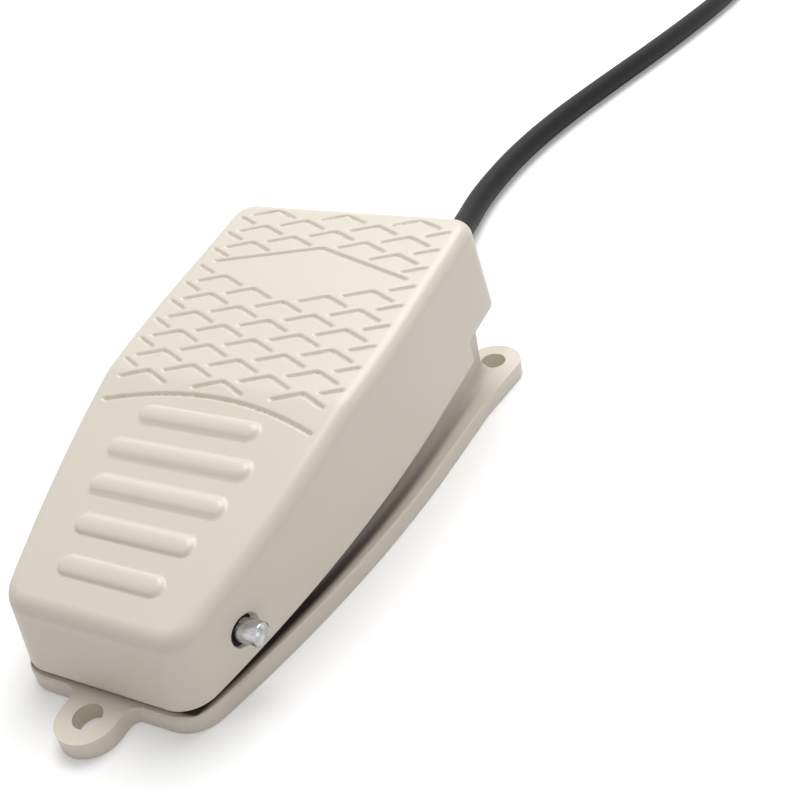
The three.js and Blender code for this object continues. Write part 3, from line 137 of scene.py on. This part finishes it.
def add_mesh(name, points, faces, smooth=40):
    """A piece from an array of points in millimetres and a list of face index arrays."""
    mesh = bpy.data.meshes.new(name)
    mesh.from_pydata((np.asarray(points) * MM).tolist(), [], [f for block in faces for f in block.tolist()])
    bm = bmesh.new()
    bm.from_mesh(mesh)
    bmesh.ops.remove_doubles(bm, verts=bm.verts, dist=2e-6)
    bmesh.ops.recalc_face_normals(bm, faces=bm.faces)
    bm.to_mesh(mesh)
    bm.free()
    mesh.shade_smooth()
    mesh.set_sharp_from_angle(angle=radians(smooth))
    piece = bpy.data.objects.new(name, mesh)
    bpy.context.scene.collection.objects.link(piece)
    return piece


def grid_faces(rows, columns, start=0, wrap=False):
    """Quads of a grid of points numbered row by row; wrap joins the last column to the first."""
    index = np.arange(rows * columns).reshape(rows, columns) + start
    if wrap:
        index = np.hstack([index, index[:, :1]])
    return np.stack([index[:-1, :-1], index[:-1, 1:], index[1:, 1:], index[1:, :-1]], -1).reshape(-1, 4)


def turned(name, profile, sides=72, axis="X", centre=(0, 0, 0), smooth=40):
    """Surface of revolution: each (radius, distance) of the profile swept once round the axis."""
    profile = np.asarray(profile, float)
    angle = np.linspace(0, 2 * pi, sides, endpoint=False)
    ring = np.stack([np.cos(angle), np.sin(angle)], -1)
    flat = profile[:, None, :1] * ring[None]
    along = np.repeat(profile[:, 1:, None], sides, 1)
    order = {"X": (2, 0, 1), "Y": (0, 2, 1), "Z": (0, 1, 2)}[axis]
    points = np.concatenate([flat, along], -1)[..., list(order)].reshape(-1, 3) + centre
    return add_mesh(name, points, [grid_faces(len(profile), sides, wrap=True)], smooth)


def softened(profile, radius=0.25, steps=4):
    """The profile with each inner corner replaced by a short curve that blends its two sides."""
    profile = np.asarray(profile, float)
    points = [profile[0]]
    t = np.linspace(0, 1, steps)[:, None]
    for a, b, c in zip(profile[:-2], profile[1:-1], profile[2:]):
        before, after = a - b, c - b
        start = b + before * min(0.45, radius / max(np.linalg.norm(before), 1e-6))
        end = b + after * min(0.45, radius / max(np.linalg.norm(after), 1e-6))
        points.extend(start * (1 - t) ** 2 + 2 * b * t * (1 - t) + end * t**2)
    points.append(profile[-1])
    return np.array(points)


# ---- plan and top of the treadle -----------------------------------------------------------

def half_width(y):
    """Parallel sides, then a parabola that narrows to the heel."""
    share = np.maximum(0, WIDEST_Y - y) / (WIDEST_Y - HEEL_Y)
    return HALF_WIDTH - (HALF_WIDTH - HEEL_HALF_WIDTH) * share**2


def side_angle(y):
    """Angle between the side of the plan and the Y axis."""
    return np.arctan(half_width(y + 0.5) - half_width(y - 0.5))


def top_height(y):
    """The lower of the two planes that meet at the bend, with the ridge between them softened."""
    toe = BEND_HEIGHT + (y - BEND_Y) * tan(TOE_SLOPE)
    heel = BEND_HEIGHT - (BEND_Y - y) * tan(HEEL_SLOPE)
    soft = 0.12
    return -soft * np.logaddexp(-toe / soft, -heel / soft)


CHAIN_HEEL, CHAIN_TOE, ACROSS = 12, 10, 112
# Shares of the side's length: close together at the hinge hole and under the tread.
STATIONS = np.concatenate(
    [
        np.linspace(0, 0.12, 58, endpoint=False),
        np.linspace(0.12, 0.37, 44, endpoint=False),
        np.linspace(0.37, 1.0, 236),
    ]
)
# Shares of the wall's height: close together at the hinge hole.
WALL_SHARES = np.concatenate([[0.015, 0.05, 0.1, 0.16], np.linspace(0.22, 0.72, 32), [0.78, 0.86, 0.95]])


def chain(grow, heel_y, toe_y):
    """Right-hand plan line from heel to toe, pushed out by grow along the side's normal.

    A heel arc, the parabola and straight of the side, then a toe arc, each tangent to the next.
    """
    centre_y = heel_y + HEEL_CORNER
    angle = side_angle(centre_y)
    tangent_y = centre_y - HEEL_CORNER * np.sin(angle)
    centre_x = half_width(tangent_y) - HEEL_CORNER * np.cos(angle)
    a = np.linspace(-pi / 2, -angle, CHAIN_HEEL)
    reach = HEEL_CORNER + grow
    heel = np.stack([centre_x + reach * np.cos(a), centre_y + reach * np.sin(a)], -1)
    y = tangent_y + STATIONS[1:-1] * (toe_y - TOE_CORNER - tangent_y)
    a = side_angle(y)
    side = np.stack([half_width(y) + grow * np.cos(a), y - grow * np.sin(a)], -1)
    a = np.linspace(0, pi / 2, CHAIN_TOE)
    reach = TOE_CORNER + grow
    toe = np.stack([HALF_WIDTH - TOE_CORNER + reach * np.cos(a), toe_y - TOE_CORNER + reach * np.sin(a)], -1)
    return np.concatenate([heel, side, toe])


def loop(line):
    """Closed plan loop: the right line, the toe edge, the mirrored left line, the heel edge."""
    mirrored = line[::-1] * (-1, 1)
    share = np.linspace(0, 1, ACROSS + 1)[1:-1, None]
    toe = line[-1] * (1 - share) + mirrored[0] * share
    heel = mirrored[-1] * (1 - share) + line[0] * share
    return np.concatenate([line, toe, mirrored, heel])


# ---- tread pattern -------------------------------------------------------------------------

def in_plain_field(x, s):
    behind = FIRST_ROW - s
    return 12.5 + 0.32 * abs(x) < behind < 33 - abs(x) / 3


def tread_grooves():
    """Groove centre lines as rows of xa, sa, xb, sb: chevrons, the large chevron and the arc."""
    lines = []
    for row in range(LAST_ROW + 1):
        s = FIRST_ROW - row * ROW
        for column in range(-3, 4):
            x = column * COLUMN
            if (row + column) % 2 or in_plain_field(x, s):
                continue
            edge = half_width(BEND_Y + s * cos(TOE_SLOPE)) - EDGE_ROUNDING - 1.2
            for side in (-1, 1):
                tip = x + side * ARM_X
                start = np.sign(x) * min(abs(x), edge)
                share = abs(tip - start) / ARM_X
                if abs(tip) <= edge and share > 0.3:
                    lines.append((start, s - ARM_S * (1 - share), tip, s - ARM_S))
    crest = FIRST_ROW - CREST_ROW * ROW
    lines += [(0, crest, side * CREST_X, crest - CREST_S) for side in (-1, 1)]
    xs = np.linspace(-ARC_HALF, ARC_HALF, 13)
    arc = -ARC_BEHIND_BEND - ARC_SAG * xs**2
    lines += list(zip(xs[:-1], arc[:-1], xs[1:], arc[1:]))
    return np.array(lines)


def distance_to_line(x, s, xa, sa, xb, sb):
    """Distance from each point to the stretch between two ends."""
    dx, ds = xb - xa, sb - sa
    t = np.clip(((x - xa) * dx + (s - sa) * ds) / (dx * dx + ds * ds), 0, 1)
    return np.hypot(x - xa - t * dx, s - sa - t * ds)


def relief(x, y):
    """Height of the pattern over the plain top: rounded grooves below it, five rounded bars above."""
    s = np.where(y > BEND_Y, (y - BEND_Y) / cos(TOE_SLOPE), (y - BEND_Y) / cos(HEEL_SLOPE))
    nearest = np.full(x.shape, 9.0)
    for line in tread_grooves():
        nearest = np.minimum(nearest, distance_to_line(x, s, *line))
    groove = 0.5 + 0.5 * np.cos(pi * np.minimum(nearest / GROOVE_HALF, 1))
    rise = np.zeros(x.shape)
    for i, half in enumerate(BARS):
        centre = -BAR_FIRST - i * BAR_PITCH
        reach = half - BAR_HALF_WIDTH
        gap = distance_to_line(x, s, -reach, centre, reach, centre) / BAR_HALF_WIDTH
        rise = np.maximum(rise, BAR_RISE * np.sqrt(np.maximum(0, 1 - gap**2.4)))
    return rise - GROOVE_DEPTH * groove


# ---- treadle -------------------------------------------------------------------------------

def skirt_foot(plan):
    """Height of the skirt's edge: two levels, with an arch over the cord in the toe wall."""
    x, y = plan[:, 0], plan[:, 1]
    foot = np.where(y < STEP_Y, SKIRT_FOOT, STEP_FOOT)
    inside = np.maximum(0, ARCH_RADIUS**2 - x**2)
    arch = CORD_HEIGHT - PIN_HEIGHT + np.sqrt(inside)
    return np.where((y > TOE_Y - 6) & (abs(x) < ARCH_RADIUS), np.maximum(foot, arch), foot)


def wall_ring(inset, share, head_drop):
    """A loop on a wall, share of the way from the skirt's edge up to head_drop below the top."""
    foot = loop(chain(DRAFT - inset, HEEL_Y - HEEL_LEAN, TOE_Y + TOE_LEAN))
    head = loop(chain(-inset, HEEL_Y, TOE_Y))
    high = top_height(head[:, 1]) - head_drop
    z = skirt_foot(foot) * (1 - share) + high * share
    t = ((z - SKIRT_FOOT) / (high - SKIRT_FOOT))[:, None]
    return np.hstack([foot * (1 - t) + head * t, z[:, None]])


def sink_bush_hole(points):
    """Each side wall pressed in to a flat-bottomed round seat about the hinge axis."""
    y, z = points[:, 1], points[:, 2]
    radius = np.hypot(y, z)
    near = (abs(radius - BUSH_HOLE) < 0.22) & (abs(points[:, 0]) > 20)
    points[near, 1:] *= (BUSH_HOLE / np.maximum(radius, 1e-6))[near, None]
    sunk = (radius < BUSH_HOLE - 0.1) & (abs(points[:, 0]) > 20)
    points[sunk, 0] = np.sign(points[sunk, 0]) * BUSH_SEAT_X
    return points


def treadle():
    """Loops carried from the roof's underside down the inner wall, round the skirt's edge and up the
    outer wall over a quarter-round, closed above by a grid of rows across the top."""
    rings = []
    crown = loop(chain(-WALL - 1.5, HEEL_Y, TOE_Y))
    spine = np.stack([np.zeros(len(crown)), np.clip(crown[:, 1], HEEL_Y + 24, TOE_Y - 30)], -1)
    for share in (0, 0.5, 1):
        plan = spine * (1 - share) + crown * share
        rings.append(np.hstack([plan, (top_height(plan[:, 1]) - ROOF)[:, None]]))
    for share in (1, 0.66, 0.33, 0.02):
        rings.append(wall_ring(WALL, share, ROOF + 1.5))
    for inset, share in ((WALL - 0.3, 0), (0.3, 0)):
        rings.append(wall_ring(inset, share, EDGE_ROUNDING))
    for share in WALL_SHARES:
        rings.append(sink_bush_hole(wall_ring(0, share, EDGE_ROUNDING)))
    for angle in np.linspace(0, pi / 2, 11):
        plan = loop(chain(-EDGE_ROUNDING * (1 - cos(angle)), HEEL_Y, TOE_Y))
        drop = EDGE_ROUNDING * (1 - sin(angle))
        rings.append(np.hstack([plan, (top_height(plan[:, 1]) - drop)[:, None]]))
    rings = np.array(rings)
    line = chain(-EDGE_ROUNDING, HEEL_Y, TOE_Y)
    x = line[:, :1] * (1 - 2 * np.linspace(0, 1, ACROSS + 1)[None])
    y = np.repeat(line[:, 1:], ACROSS + 1, 1)
    border = np.minimum(abs(x[:, :1]) - abs(x), np.minimum(y - y[0, 0], y[-1, 0] - y))
    z = top_height(y) + relief(x, y) * np.clip(border / 0.9, 0, 1)
    top = np.stack([x, y, z], -1)
    points = np.concatenate([rings.reshape(-1, 3), top.reshape(-1, 3)])
    c, s = cos(REST_TILT), sin(REST_TILT)
    turned_up = points @ np.array([[1, 0, 0], [0, c, s], [0, -s, c]])
    faces = [
        grid_faces(len(rings), rings.shape[1], wrap=True),
        grid_faces(*x.shape, start=rings.shape[0] * rings.shape[1]),
    ]
    return add_mesh("treadle", turned_up + (0, PIN_Y, PIN_HEIGHT), faces, 85)


# ---- carried-over castings -----------------------------------------------------------------

def rounded_copy(name, node, width, angle=30):
    """The CAD solid with its loose triangles merged, its edges rounded and its curves shaded smooth."""
    mesh = nodes[node].data.copy()
    bm = bmesh.new()
    bm.from_mesh(mesh)
    bmesh.ops.remove_doubles(bm, verts=bm.verts, dist=1e-6)
    bmesh.ops.dissolve_limit(bm, angle_limit=radians(0.6), verts=bm.verts, edges=bm.edges)
    bm.to_mesh(mesh)
    bm.free()
    mesh.materials.clear()
    mesh.shade_smooth()
    mesh.set_sharp_from_angle(angle=radians(angle))
    piece = bpy.data.objects.new(name, mesh)
    bpy.context.scene.collection.objects.link(piece)
    bevel = piece.modifiers.new("rounding", "BEVEL")
    bevel.width = width * MM
    bevel.segments = 2
    bevel.limit_method = "ANGLE"
    bevel.angle_limit = radians(angle)
    bevel.harden_normals = True
    return piece


# ---- cord ----------------------------------------------------------------------------------

ROUTE = [
    (0, 58.6, 12),
    (0, 68, 12),
    (0, 78, 12),
    (0, 90, 12),
    (0, 104, 12),
    (-1.1, 122, 10.6),
    (-4.0, 141, 7.4),
    (-7.6, 160, 5.1),
    (-10.0, 179, 4.6),
    (-10.4, 199, 4.6),
    (-9.2, 221, 4.6),
    (-5.6, 247, 4.6),
    (-0.2, 273, 4.6),
    (6.6, 301, 4.6),
    (14.0, 331, 4.6),
    (21.2, 363, 4.6),
    (27.4, 395, 4.6),
    (31.6, 427, 4.6),
    (33.4, 458, 4.6),
    (33.8, 475, 4.6),
    (33.9, 489.7, 4.6),
]
COIL = (-30.2, 490.0)
COIL_START, COIL_END, COIL_TURNS, PER_TURN = 64.1, 36.2, 3, 24


def cord_points():
    """The route, then a flat spiral whose radius shrinks evenly with its angle."""
    share = np.arange(1, COIL_TURNS * PER_TURN + 1) / (COIL_TURNS * PER_TURN)
    angle = 2 * pi * COIL_TURNS * share
    radius = COIL_START + (COIL_END - COIL_START) * share
    spiral = np.stack(
        [COIL[0] + radius * np.cos(angle), COIL[1] + radius * np.sin(angle), np.full(share.shape, 4.6)], -1
    )
    return np.concatenate([np.array(ROUTE, float), spiral])


def cord_curve(name, points, radius):
    """One open Bezier spline through the points, with a round section."""
    curve = bpy.data.curves.new(name, "CURVE")
    curve.dimensions = "3D"
    curve.resolution_u = 8
    curve.bevel_depth = radius * MM
    curve.bevel_resolution = 8
    curve.use_fill_caps = True
    spline = curve.splines.new("BEZIER")
    spline.bezier_points.add(len(points) - 1)
    spline.bezier_points.foreach_set("co", (np.asarray(points) * MM).ravel())
    for point in spline.bezier_points:
        point.handle_left_type = point.handle_right_type = "AUTO"
    piece = bpy.data.objects.new(name, curve)
    bpy.context.scene.collection.objects.link(piece)
    return piece


def coil_spring(name, low, high):
    """Round wire swept along a helix inside the box from low to high, its first and last turns closed."""
    reach = (high[0] - low[0]) / 2 - SPRING_WIRE
    centre = ((low[0] + high[0]) / 2, (low[1] + high[1]) / 2)
    foot, head = low[2] + SPRING_WIRE, high[2] - SPRING_WIRE
    t = np.linspace(0, 1, SPRING_TURNS * 48 + 1)
    closed = 2 * SPRING_WIRE / (head - foot)
    rise = np.interp(t, [0, 1 / SPRING_TURNS, 1 - 1 / SPRING_TURNS, 1], [0, closed, 1 - closed, 1])
    angle = 2 * pi * SPRING_TURNS * t
    outward = np.stack([np.cos(angle), np.sin(angle), np.zeros(t.shape)], -1)
    path = reach * outward + np.stack([t * 0 + centre[0], t * 0 + centre[1], foot + (head - foot) * rise], -1)
    along = np.gradient(path, axis=0)
    along /= np.linalg.norm(along, axis=1)[:, None]
    across = np.cross(along, outward)
    a = np.linspace(0, 2 * pi, 16, endpoint=False)[None, :, None]
    wire = SPRING_WIRE * (np.cos(a) * outward[:, None] + np.sin(a) * across[:, None])
    rings = path[:, None] + wire
    ends = [np.repeat(path[i : i + 1, None], 16, 1) for i in (0, len(path) - 1)]
    rings = np.concatenate([ends[0], rings, ends[1]])
    return add_mesh(name, rings.reshape(-1, 3), [grid_faces(len(rings), 16, wrap=True)], 50)


# ---- materials -----------------------------------------------------------------------------

def linear(code):
    """An sRGB hex colour as linear red, green, blue, alpha."""
    c = np.array([int(code[i : i + 2], 16) for i in (0, 2, 4)]) / 255
    c = np.where(c <= 0.04045, c / 12.92, ((c + 0.055) / 1.055) ** 2.4)
    return (*c.tolist(), 1)


def add_node(tree, kind, links=(), **settings):
    """A node with its settings; links are (own input, other node's output) pairs."""
    made = tree.nodes.new(kind)
    for key, value in settings.items():
        if key in made.inputs:
            made.inputs[key].default_value = value
        else:
            setattr(made, key, value)
    for own, other in links:
        tree.links.new(made.inputs[own], other)
    return made


def surface(
    name, low, high, patch_mm, grain_mm, grain_depth_mm, roughness, metallic=0, stretch=(1, 1, 1), **sockets
):
    """A finish whose colour drifts from low to high in patches, with a fine bump and uneven gloss."""
    material = bpy.data.materials.new(name)
    material.use_nodes = True
    tree = material.node_tree
    shader = tree.nodes["Principled BSDF"]
    place = add_node(tree, "ShaderNodeTexCoord").outputs["Object"]
    drawn = add_node(tree, "ShaderNodeMapping", [("Vector", place)], Scale=stretch).outputs[0]
    patches = add_node(tree, "ShaderNodeTexNoise", [("Vector", drawn)], Scale=1 / (patch_mm * MM), Detail=3)
    grain = add_node(tree, "ShaderNodeTexNoise", [("Vector", drawn)], Scale=1 / (grain_mm * MM), Detail=2)
    colour = add_node(tree, "ShaderNodeMix", [("Factor", patches.outputs[0])], data_type="RGBA")
    colour.inputs[6].default_value = linear(low)
    colour.inputs[7].default_value = linear(high)
    gloss = add_node(tree, "ShaderNodeMapRange", [("Value", grain.outputs[0])])
    gloss.inputs["To Min"].default_value, gloss.inputs["To Max"].default_value = roughness
    bump = add_node(
        tree, "ShaderNodeBump", [("Height", grain.outputs[0])], Strength=0.6, Distance=grain_depth_mm * MM
    )
    tree.links.new(shader.inputs["Base Color"], colour.outputs[2])
    tree.links.new(shader.inputs["Roughness"], gloss.outputs[0])
    tree.links.new(shader.inputs["Normal"], bump.outputs[0])
    shader.inputs["Metallic"].default_value = metallic
    for key, value in sockets.items():
        shader.inputs[key.replace("_", " ")].default_value = value
    return material


def enamel(name):
    return surface(
        name, "e4dacc", "e7dfd1", 60, 6, 0.003, (0.36, 0.4), IOR=1.45, Coat_Weight=0.2, Coat_Roughness=0.2
    )


# Stoved enamel on a die casting: a soft gloss with a faint orange peel and hardly any drift in tint.
ENAMEL = enamel("stoved_enamel")
# The same enamel on the base, with painted shade: a dark brown laid into its colour under the skirt, where
# the gap is in shadow.
SHADE_PAINTED_ENAMEL = enamel("enamel_with_painted_shade")
# Ground and chromed pin steel: near-mirror, with a fine grain in its gloss; the dark and bright streaks along
# its length in its colour are painted reflections.
PIN_STEEL = surface("ground_steel", "626466", "ffffff", 2, 0.3, 0.001, (0.1, 0.18), 1, (0.1, 1, 1))
# Zinc plate: pale grey with a slight bloom.
ZINC = surface("zinc_plate", "a3a7a8", "bcbfbd", 3, 0.4, 0.01, (0.3, 0.5), 1)
# Tempered spring steel: darker, drawn along its length.
SPRING = surface("spring_steel", "777b80", "94979b", 3, 0.3, 0.006, (0.28, 0.42), 1)
# Moulded nylon: dull black with a fine texture.
NYLON = surface("black_nylon", "090808", "121110", 5, 0.5, 0.02, (0.55, 0.7), IOR=1.35)
# Moulded rubber: soft black with a dusty bloom.
RUBBER = surface("moulded_rubber", "17171a", "222226", 6, 0.6, 0.03, (0.5, 0.7), IOR=1.52)
# Phenolic moulding: dark brown-black, faintly mottled by its filler.
PHENOLIC = surface("phenolic", "1e1a18", "2c2622", 2, 0.4, 0.02, (0.35, 0.5), IOR=1.6)
# Acetal button: even red.
ACETAL = surface("red_acetal", "99221b", "ab2b22", 4, 0.5, 0.01, (0.35, 0.45), IOR=1.48)
# Tinned brass tags.
BRASS = surface("tinned_brass", "b8944a", "d0ac60", 2, 0.3, 0.006, (0.28, 0.42), 1)
# Extruded PVC sheath: blue-black, satin, with a slight waviness along its length.
SHEATH = surface("pvc_sheath", "040507", "090a0e", 12, 1.5, 0.02, (0.42, 0.5), IOR=1.3)
# Thin PVC core insulation in the wiring colours.
BROWN = surface("brown_core", "60341a", "713f20", 5, 0.8, 0.01, (0.35, 0.45), IOR=1.53)
BLUE = surface("blue_core", "1f4c96", "2a5cab", 5, 0.8, 0.01, (0.35, 0.45), IOR=1.53)


def lay_over(material, code, factor):
    """A second colour laid over the finish, by the share that factor carries."""
    tree = material.node_tree
    shader = tree.nodes["Principled BSDF"]
    mix = add_node(tree, "ShaderNodeMix", [("Factor", factor)], data_type="RGBA")
    tree.links.new(mix.inputs[6], shader.inputs["Base Color"].links[0].from_socket)
    mix.inputs[7].default_value = linear(code)
    tree.links.new(shader.inputs["Base Color"], mix.outputs[2])


def banded(name, base, band, axis, pitch_mm, low, high):
    """A plastic with bands of a second colour between low and high of each pitch along an axis."""
    material = surface(name, base, base, 6, 0.8, 0.01, (0.35, 0.45), IOR=1.5)
    tree = material.node_tree
    place = add_node(tree, "ShaderNodeTexCoord").outputs["Object"]
    split = add_node(tree, "ShaderNodeSeparateXYZ", [(0, place)])
    turns = add_node(tree, "ShaderNodeMath", [(0, split.outputs[axis])], operation="DIVIDE")
    turns.inputs[1].default_value = pitch_mm * MM
    share = add_node(tree, "ShaderNodeMath", [(0, turns.outputs[0])], operation="FRACT")
    above = add_node(tree, "ShaderNodeMath", [(0, share.outputs[0])], operation="GREATER_THAN")
    above.inputs[1].default_value = low
    below = add_node(tree, "ShaderNodeMath", [(0, share.outputs[0])], operation="LESS_THAN")
    below.inputs[1].default_value = high
    both = add_node(
        tree, "ShaderNodeMath", [(0, above.outputs[0]), (1, below.outputs[0])], operation="MULTIPLY"
    )
    lay_over(material, band, both.outputs[0])
    return material


def paint_gap_shade(material):
    """Painted shade, a dark brown laid into the colour where the skirt covers the flange and wall: inside the
    plan line, heaviest at the heel.
    """
    tree = material.node_tree
    place = add_node(tree, "ShaderNodeTexCoord").outputs["Object"]
    split = add_node(tree, "ShaderNodeSeparateXYZ", [(0, place)])

    def ramp(value, start, end, low=0, high=1):
        made = add_node(tree, "ShaderNodeMapRange", [("Value", value)])
        made.inputs["From Min"].default_value, made.inputs["From Max"].default_value = start * MM, end * MM
        made.inputs["To Min"].default_value, made.inputs["To Max"].default_value = low, high
        return made.outputs[0]

    def combined(kind, a, b):
        return add_node(tree, "ShaderNodeMath", [(0, a), (1, b)], operation=kind).outputs[0]

    along = split.outputs[1]
    taper = ramp(along, WIDEST_Y + PIN_Y, HEEL_Y + PIN_Y)
    squared = combined("MULTIPLY", taper, taper)
    narrowing = add_node(tree, "ShaderNodeMath", [(0, squared)], operation="MULTIPLY")
    narrowing.inputs[1].default_value = (HALF_WIDTH - HEEL_HALF_WIDTH) * MM
    away = add_node(tree, "ShaderNodeMath", [(0, split.outputs[0])], operation="ABSOLUTE").outputs[0]
    beside = ramp(combined("ADD", away, narrowing.outputs[0]), HALF_WIDTH + 0.2, HALF_WIDTH - 1.2)
    inside = combined("MULTIPLY", beside, ramp(along, HEEL_Y + PIN_Y - 2.4, HEEL_Y + PIN_Y - 1))
    height = ramp(split.outputs[2], FLANGE - 0.3, FLANGE - 0.1)
    fade = ramp(along, -30, STEP_Y + PIN_Y, 0.94, 0.12)
    # Painted shade of the gap under the skirt, laid over the enamel's colour.
    lay_over(material, "2c1a0c", combined("MULTIPLY", combined("MULTIPLY", inside, height), fade))
    return material


# Earth insulation: green with a yellow stripe.
EARTH = banded("earth_core", "2f7d34", "d2c331", 0, 7, 0.4, 0.75)
# Blank film label: black with one thin dark red rule along its upper part.
LABEL = banded("label_film", "141313", "7c221d", 2, 60, 0.6, 0.61)


def paint(piece, material):
    piece.data.materials.clear()
    piece.data.materials.append(material)


# ---- the pieces ----------------------------------------------------------------------------

tread = treadle()
paint(tread, ENAMEL)
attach(tread, "treadle")
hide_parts("treadle_casting")

base = rounded_copy("base", "base_casting", 0.35)
# The base's enamel is darkened by painted shade under the skirt.
paint(base, paint_gap_shade(SHADE_PAINTED_ENAMEL))
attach(base, "base")
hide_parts("base_casting")

pin_profile = softened(
    [(0, -PIN_END), (PIN_RADIUS - 0.8, -PIN_END), (PIN_RADIUS, 0.8 - PIN_END), (PIN_RADIUS, PIN_END - 0.8),
     (PIN_RADIUS - 0.8, PIN_END), (0, PIN_END)], 0.2)
pin = turned("hinge_pin", pin_profile, centre=(0, PIN_Y, PIN_HEIGHT), smooth=30)
paint(pin, PIN_STEEL)
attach(pin, "base")
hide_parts("pivot_pin")

low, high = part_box("strain_relief")
relief_start, relief_end = low.y / MM, high.y / MM
bore = CORD_RADIUS + FITTING_GAP
wall_in, wall_out = CORD_EXIT_Y - WALL - FITTING_GAP, CORD_EXIT_Y + FITTING_GAP
gland_profile = softened(
    [
        (bore, relief_start),
        (GLAND_COLLAR, relief_start),
        (GLAND_COLLAR, wall_in),
        (GLAND_NECK, wall_in),
        (GLAND_NECK, wall_out),
        (GLAND_COLLAR, wall_out),
        (GLAND_COLLAR, wall_out + GLAND_RIM),
        (GLAND_COLLAR - 0.3, wall_out + GLAND_RIM + 0.6),
        (GLAND_TIP, relief_end),
        (bore, relief_end),
        (bore, relief_start),
    ],
    0.3,
)
gland = turned("cord_gland", gland_profile, axis="Y", centre=(0, 0, CORD_HEIGHT), smooth=60)
paint(gland, RUBBER)
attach(gland, "base")
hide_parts("strain_relief")

cord = cord_curve("cord", cord_points(), CORD_RADIUS)
paint(cord, SHEATH)
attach(cord, "base")
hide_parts("cord_run", "cord_coil")

low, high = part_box("return_spring")
spring = coil_spring("spring", low / MM, high / MM)
paint(spring, SPRING)
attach(spring, "base")
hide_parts("return_spring")
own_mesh(spring)

finishes = {
    PIN_STEEL: ["lever_pin"],
    ZINC: [n for n in nodes if n.startswith(("switch_screw", "switch_nut", "bracket_screw", "clamp_screw"))]
    + ["switch_bracket", "cord_clamp", "earth_screw", "adjusting_screw", "lock_nut"],
    SPRING: ["switch_lever", "pin_clip_left", "pin_clip_right"],
    NYLON: ["pivot_bush_left", "pivot_bush_right", "cord_tie"],
    RUBBER: ["stop_buffer_left", "stop_buffer_right"],
    PHENOLIC: ["switch_case", "switch_cover"],
    ACETAL: ["switch_plunger"],
    BRASS: ["terminal_common", "terminal_open", "terminal_closed", "earth_tag"],
    BROWN: ["core_common", "tail_common"],
    BLUE: ["core_open", "tail_open"],
    EARTH: ["core_earth", "tail_earth"],
    LABEL: ["rating_label"],
}
for material, names in finishes.items():
    for node in names:
        paint(nodes[node], material)

# ---- floor and light -----------------------------------------------------------------------

floor_mesh = bpy.data.meshes.new("floor")
floor_mesh.from_pydata([(-8, -8, 0), (8, -8, 0), (8, 8, 0), (-8, 8, 0)], [], [(0, 1, 2, 3)])
floor = bpy.data.objects.new("floor", floor_mesh)
bpy.context.scene.collection.objects.link(floor)
floor.location.z = -0.0002
floor_finish = bpy.data.materials.new("white_sweep")
floor_finish.use_nodes = True
floor_tree = floor_finish.node_tree
floor_shader = floor_tree.nodes["Principled BSDF"]
floor_shader.inputs["Base Color"].default_value = (0.93, 0.93, 0.93, 1)
floor_shader.inputs["Roughness"].default_value = 0.9
floor_seen = add_node(floor_tree, "ShaderNodeLightPath")
floor_place = add_node(floor_tree, "ShaderNodeTexCoord").outputs["Object"]
floor_reach = add_node(floor_tree, "ShaderNodeVectorMath", [(0, floor_place)], operation="LENGTH")
# The camera sees the floor lifted to white, most of all where the lamps fade out.
floor_lift = add_node(floor_tree, "ShaderNodeMapRange", [("Value", floor_reach.outputs["Value"])])
floor_lift.inputs["From Min"].default_value, floor_lift.inputs["From Max"].default_value = 0.4, 1.3
floor_lift.inputs["To Min"].default_value, floor_lift.inputs["To Max"].default_value = 0.22, 0.75
floor_glow = add_node(
    floor_tree, "ShaderNodeMath", [(0, floor_seen.outputs["Is Camera Ray"]), (1, floor_lift.outputs[0])],
    operation="MULTIPLY",
)
floor_shader.inputs["Emission Color"].default_value = (1, 1, 1, 1)
floor_tree.links.new(floor_shader.inputs["Emission Strength"], floor_glow.outputs[0])
floor_mesh.materials.append(floor_finish)

world = bpy.data.worlds.new("studio")
bpy.context.scene.world = world
world.use_nodes = True
sky = world.node_tree
background = sky.nodes["Background"]
path = add_node(sky, "ShaderNodeLightPath")
seen = add_node(
    sky, "ShaderNodeMath", [(0, path.outputs["Is Camera Ray"]), (1, path.outputs["Is Glossy Ray"])],
    operation="MAXIMUM",
)
strength = add_node(sky, "ShaderNodeMapRange", [("Value", seen.outputs[0])])
strength.inputs["To Min"].default_value = 0.34
strength.inputs["To Max"].default_value = 1.0
background.inputs["Color"].default_value = (1, 1, 1, 1)
sky.links.new(background.inputs["Strength"], strength.outputs[0])


def softbox(name, place, target, size, power):
    lamp = bpy.data.lights.new(name, "AREA")
    lamp.shape = "DISK"
    lamp.size = size
    lamp.energy = power
    made = bpy.data.objects.new(name, lamp)
    made.location = place
    made.rotation_euler = (Vector(target) - Vector(place)).to_track_quat("-Z", "Y").to_euler()
    bpy.context.scene.collection.objects.link(made)


softbox("key", (-0.1, 0.55, 1.1), (0, 0, 0.02), 1.0, 12.5)
softbox("fill", (0.9, -0.5, 0.45), (0, 0, 0.03), 0.6, 0.4)
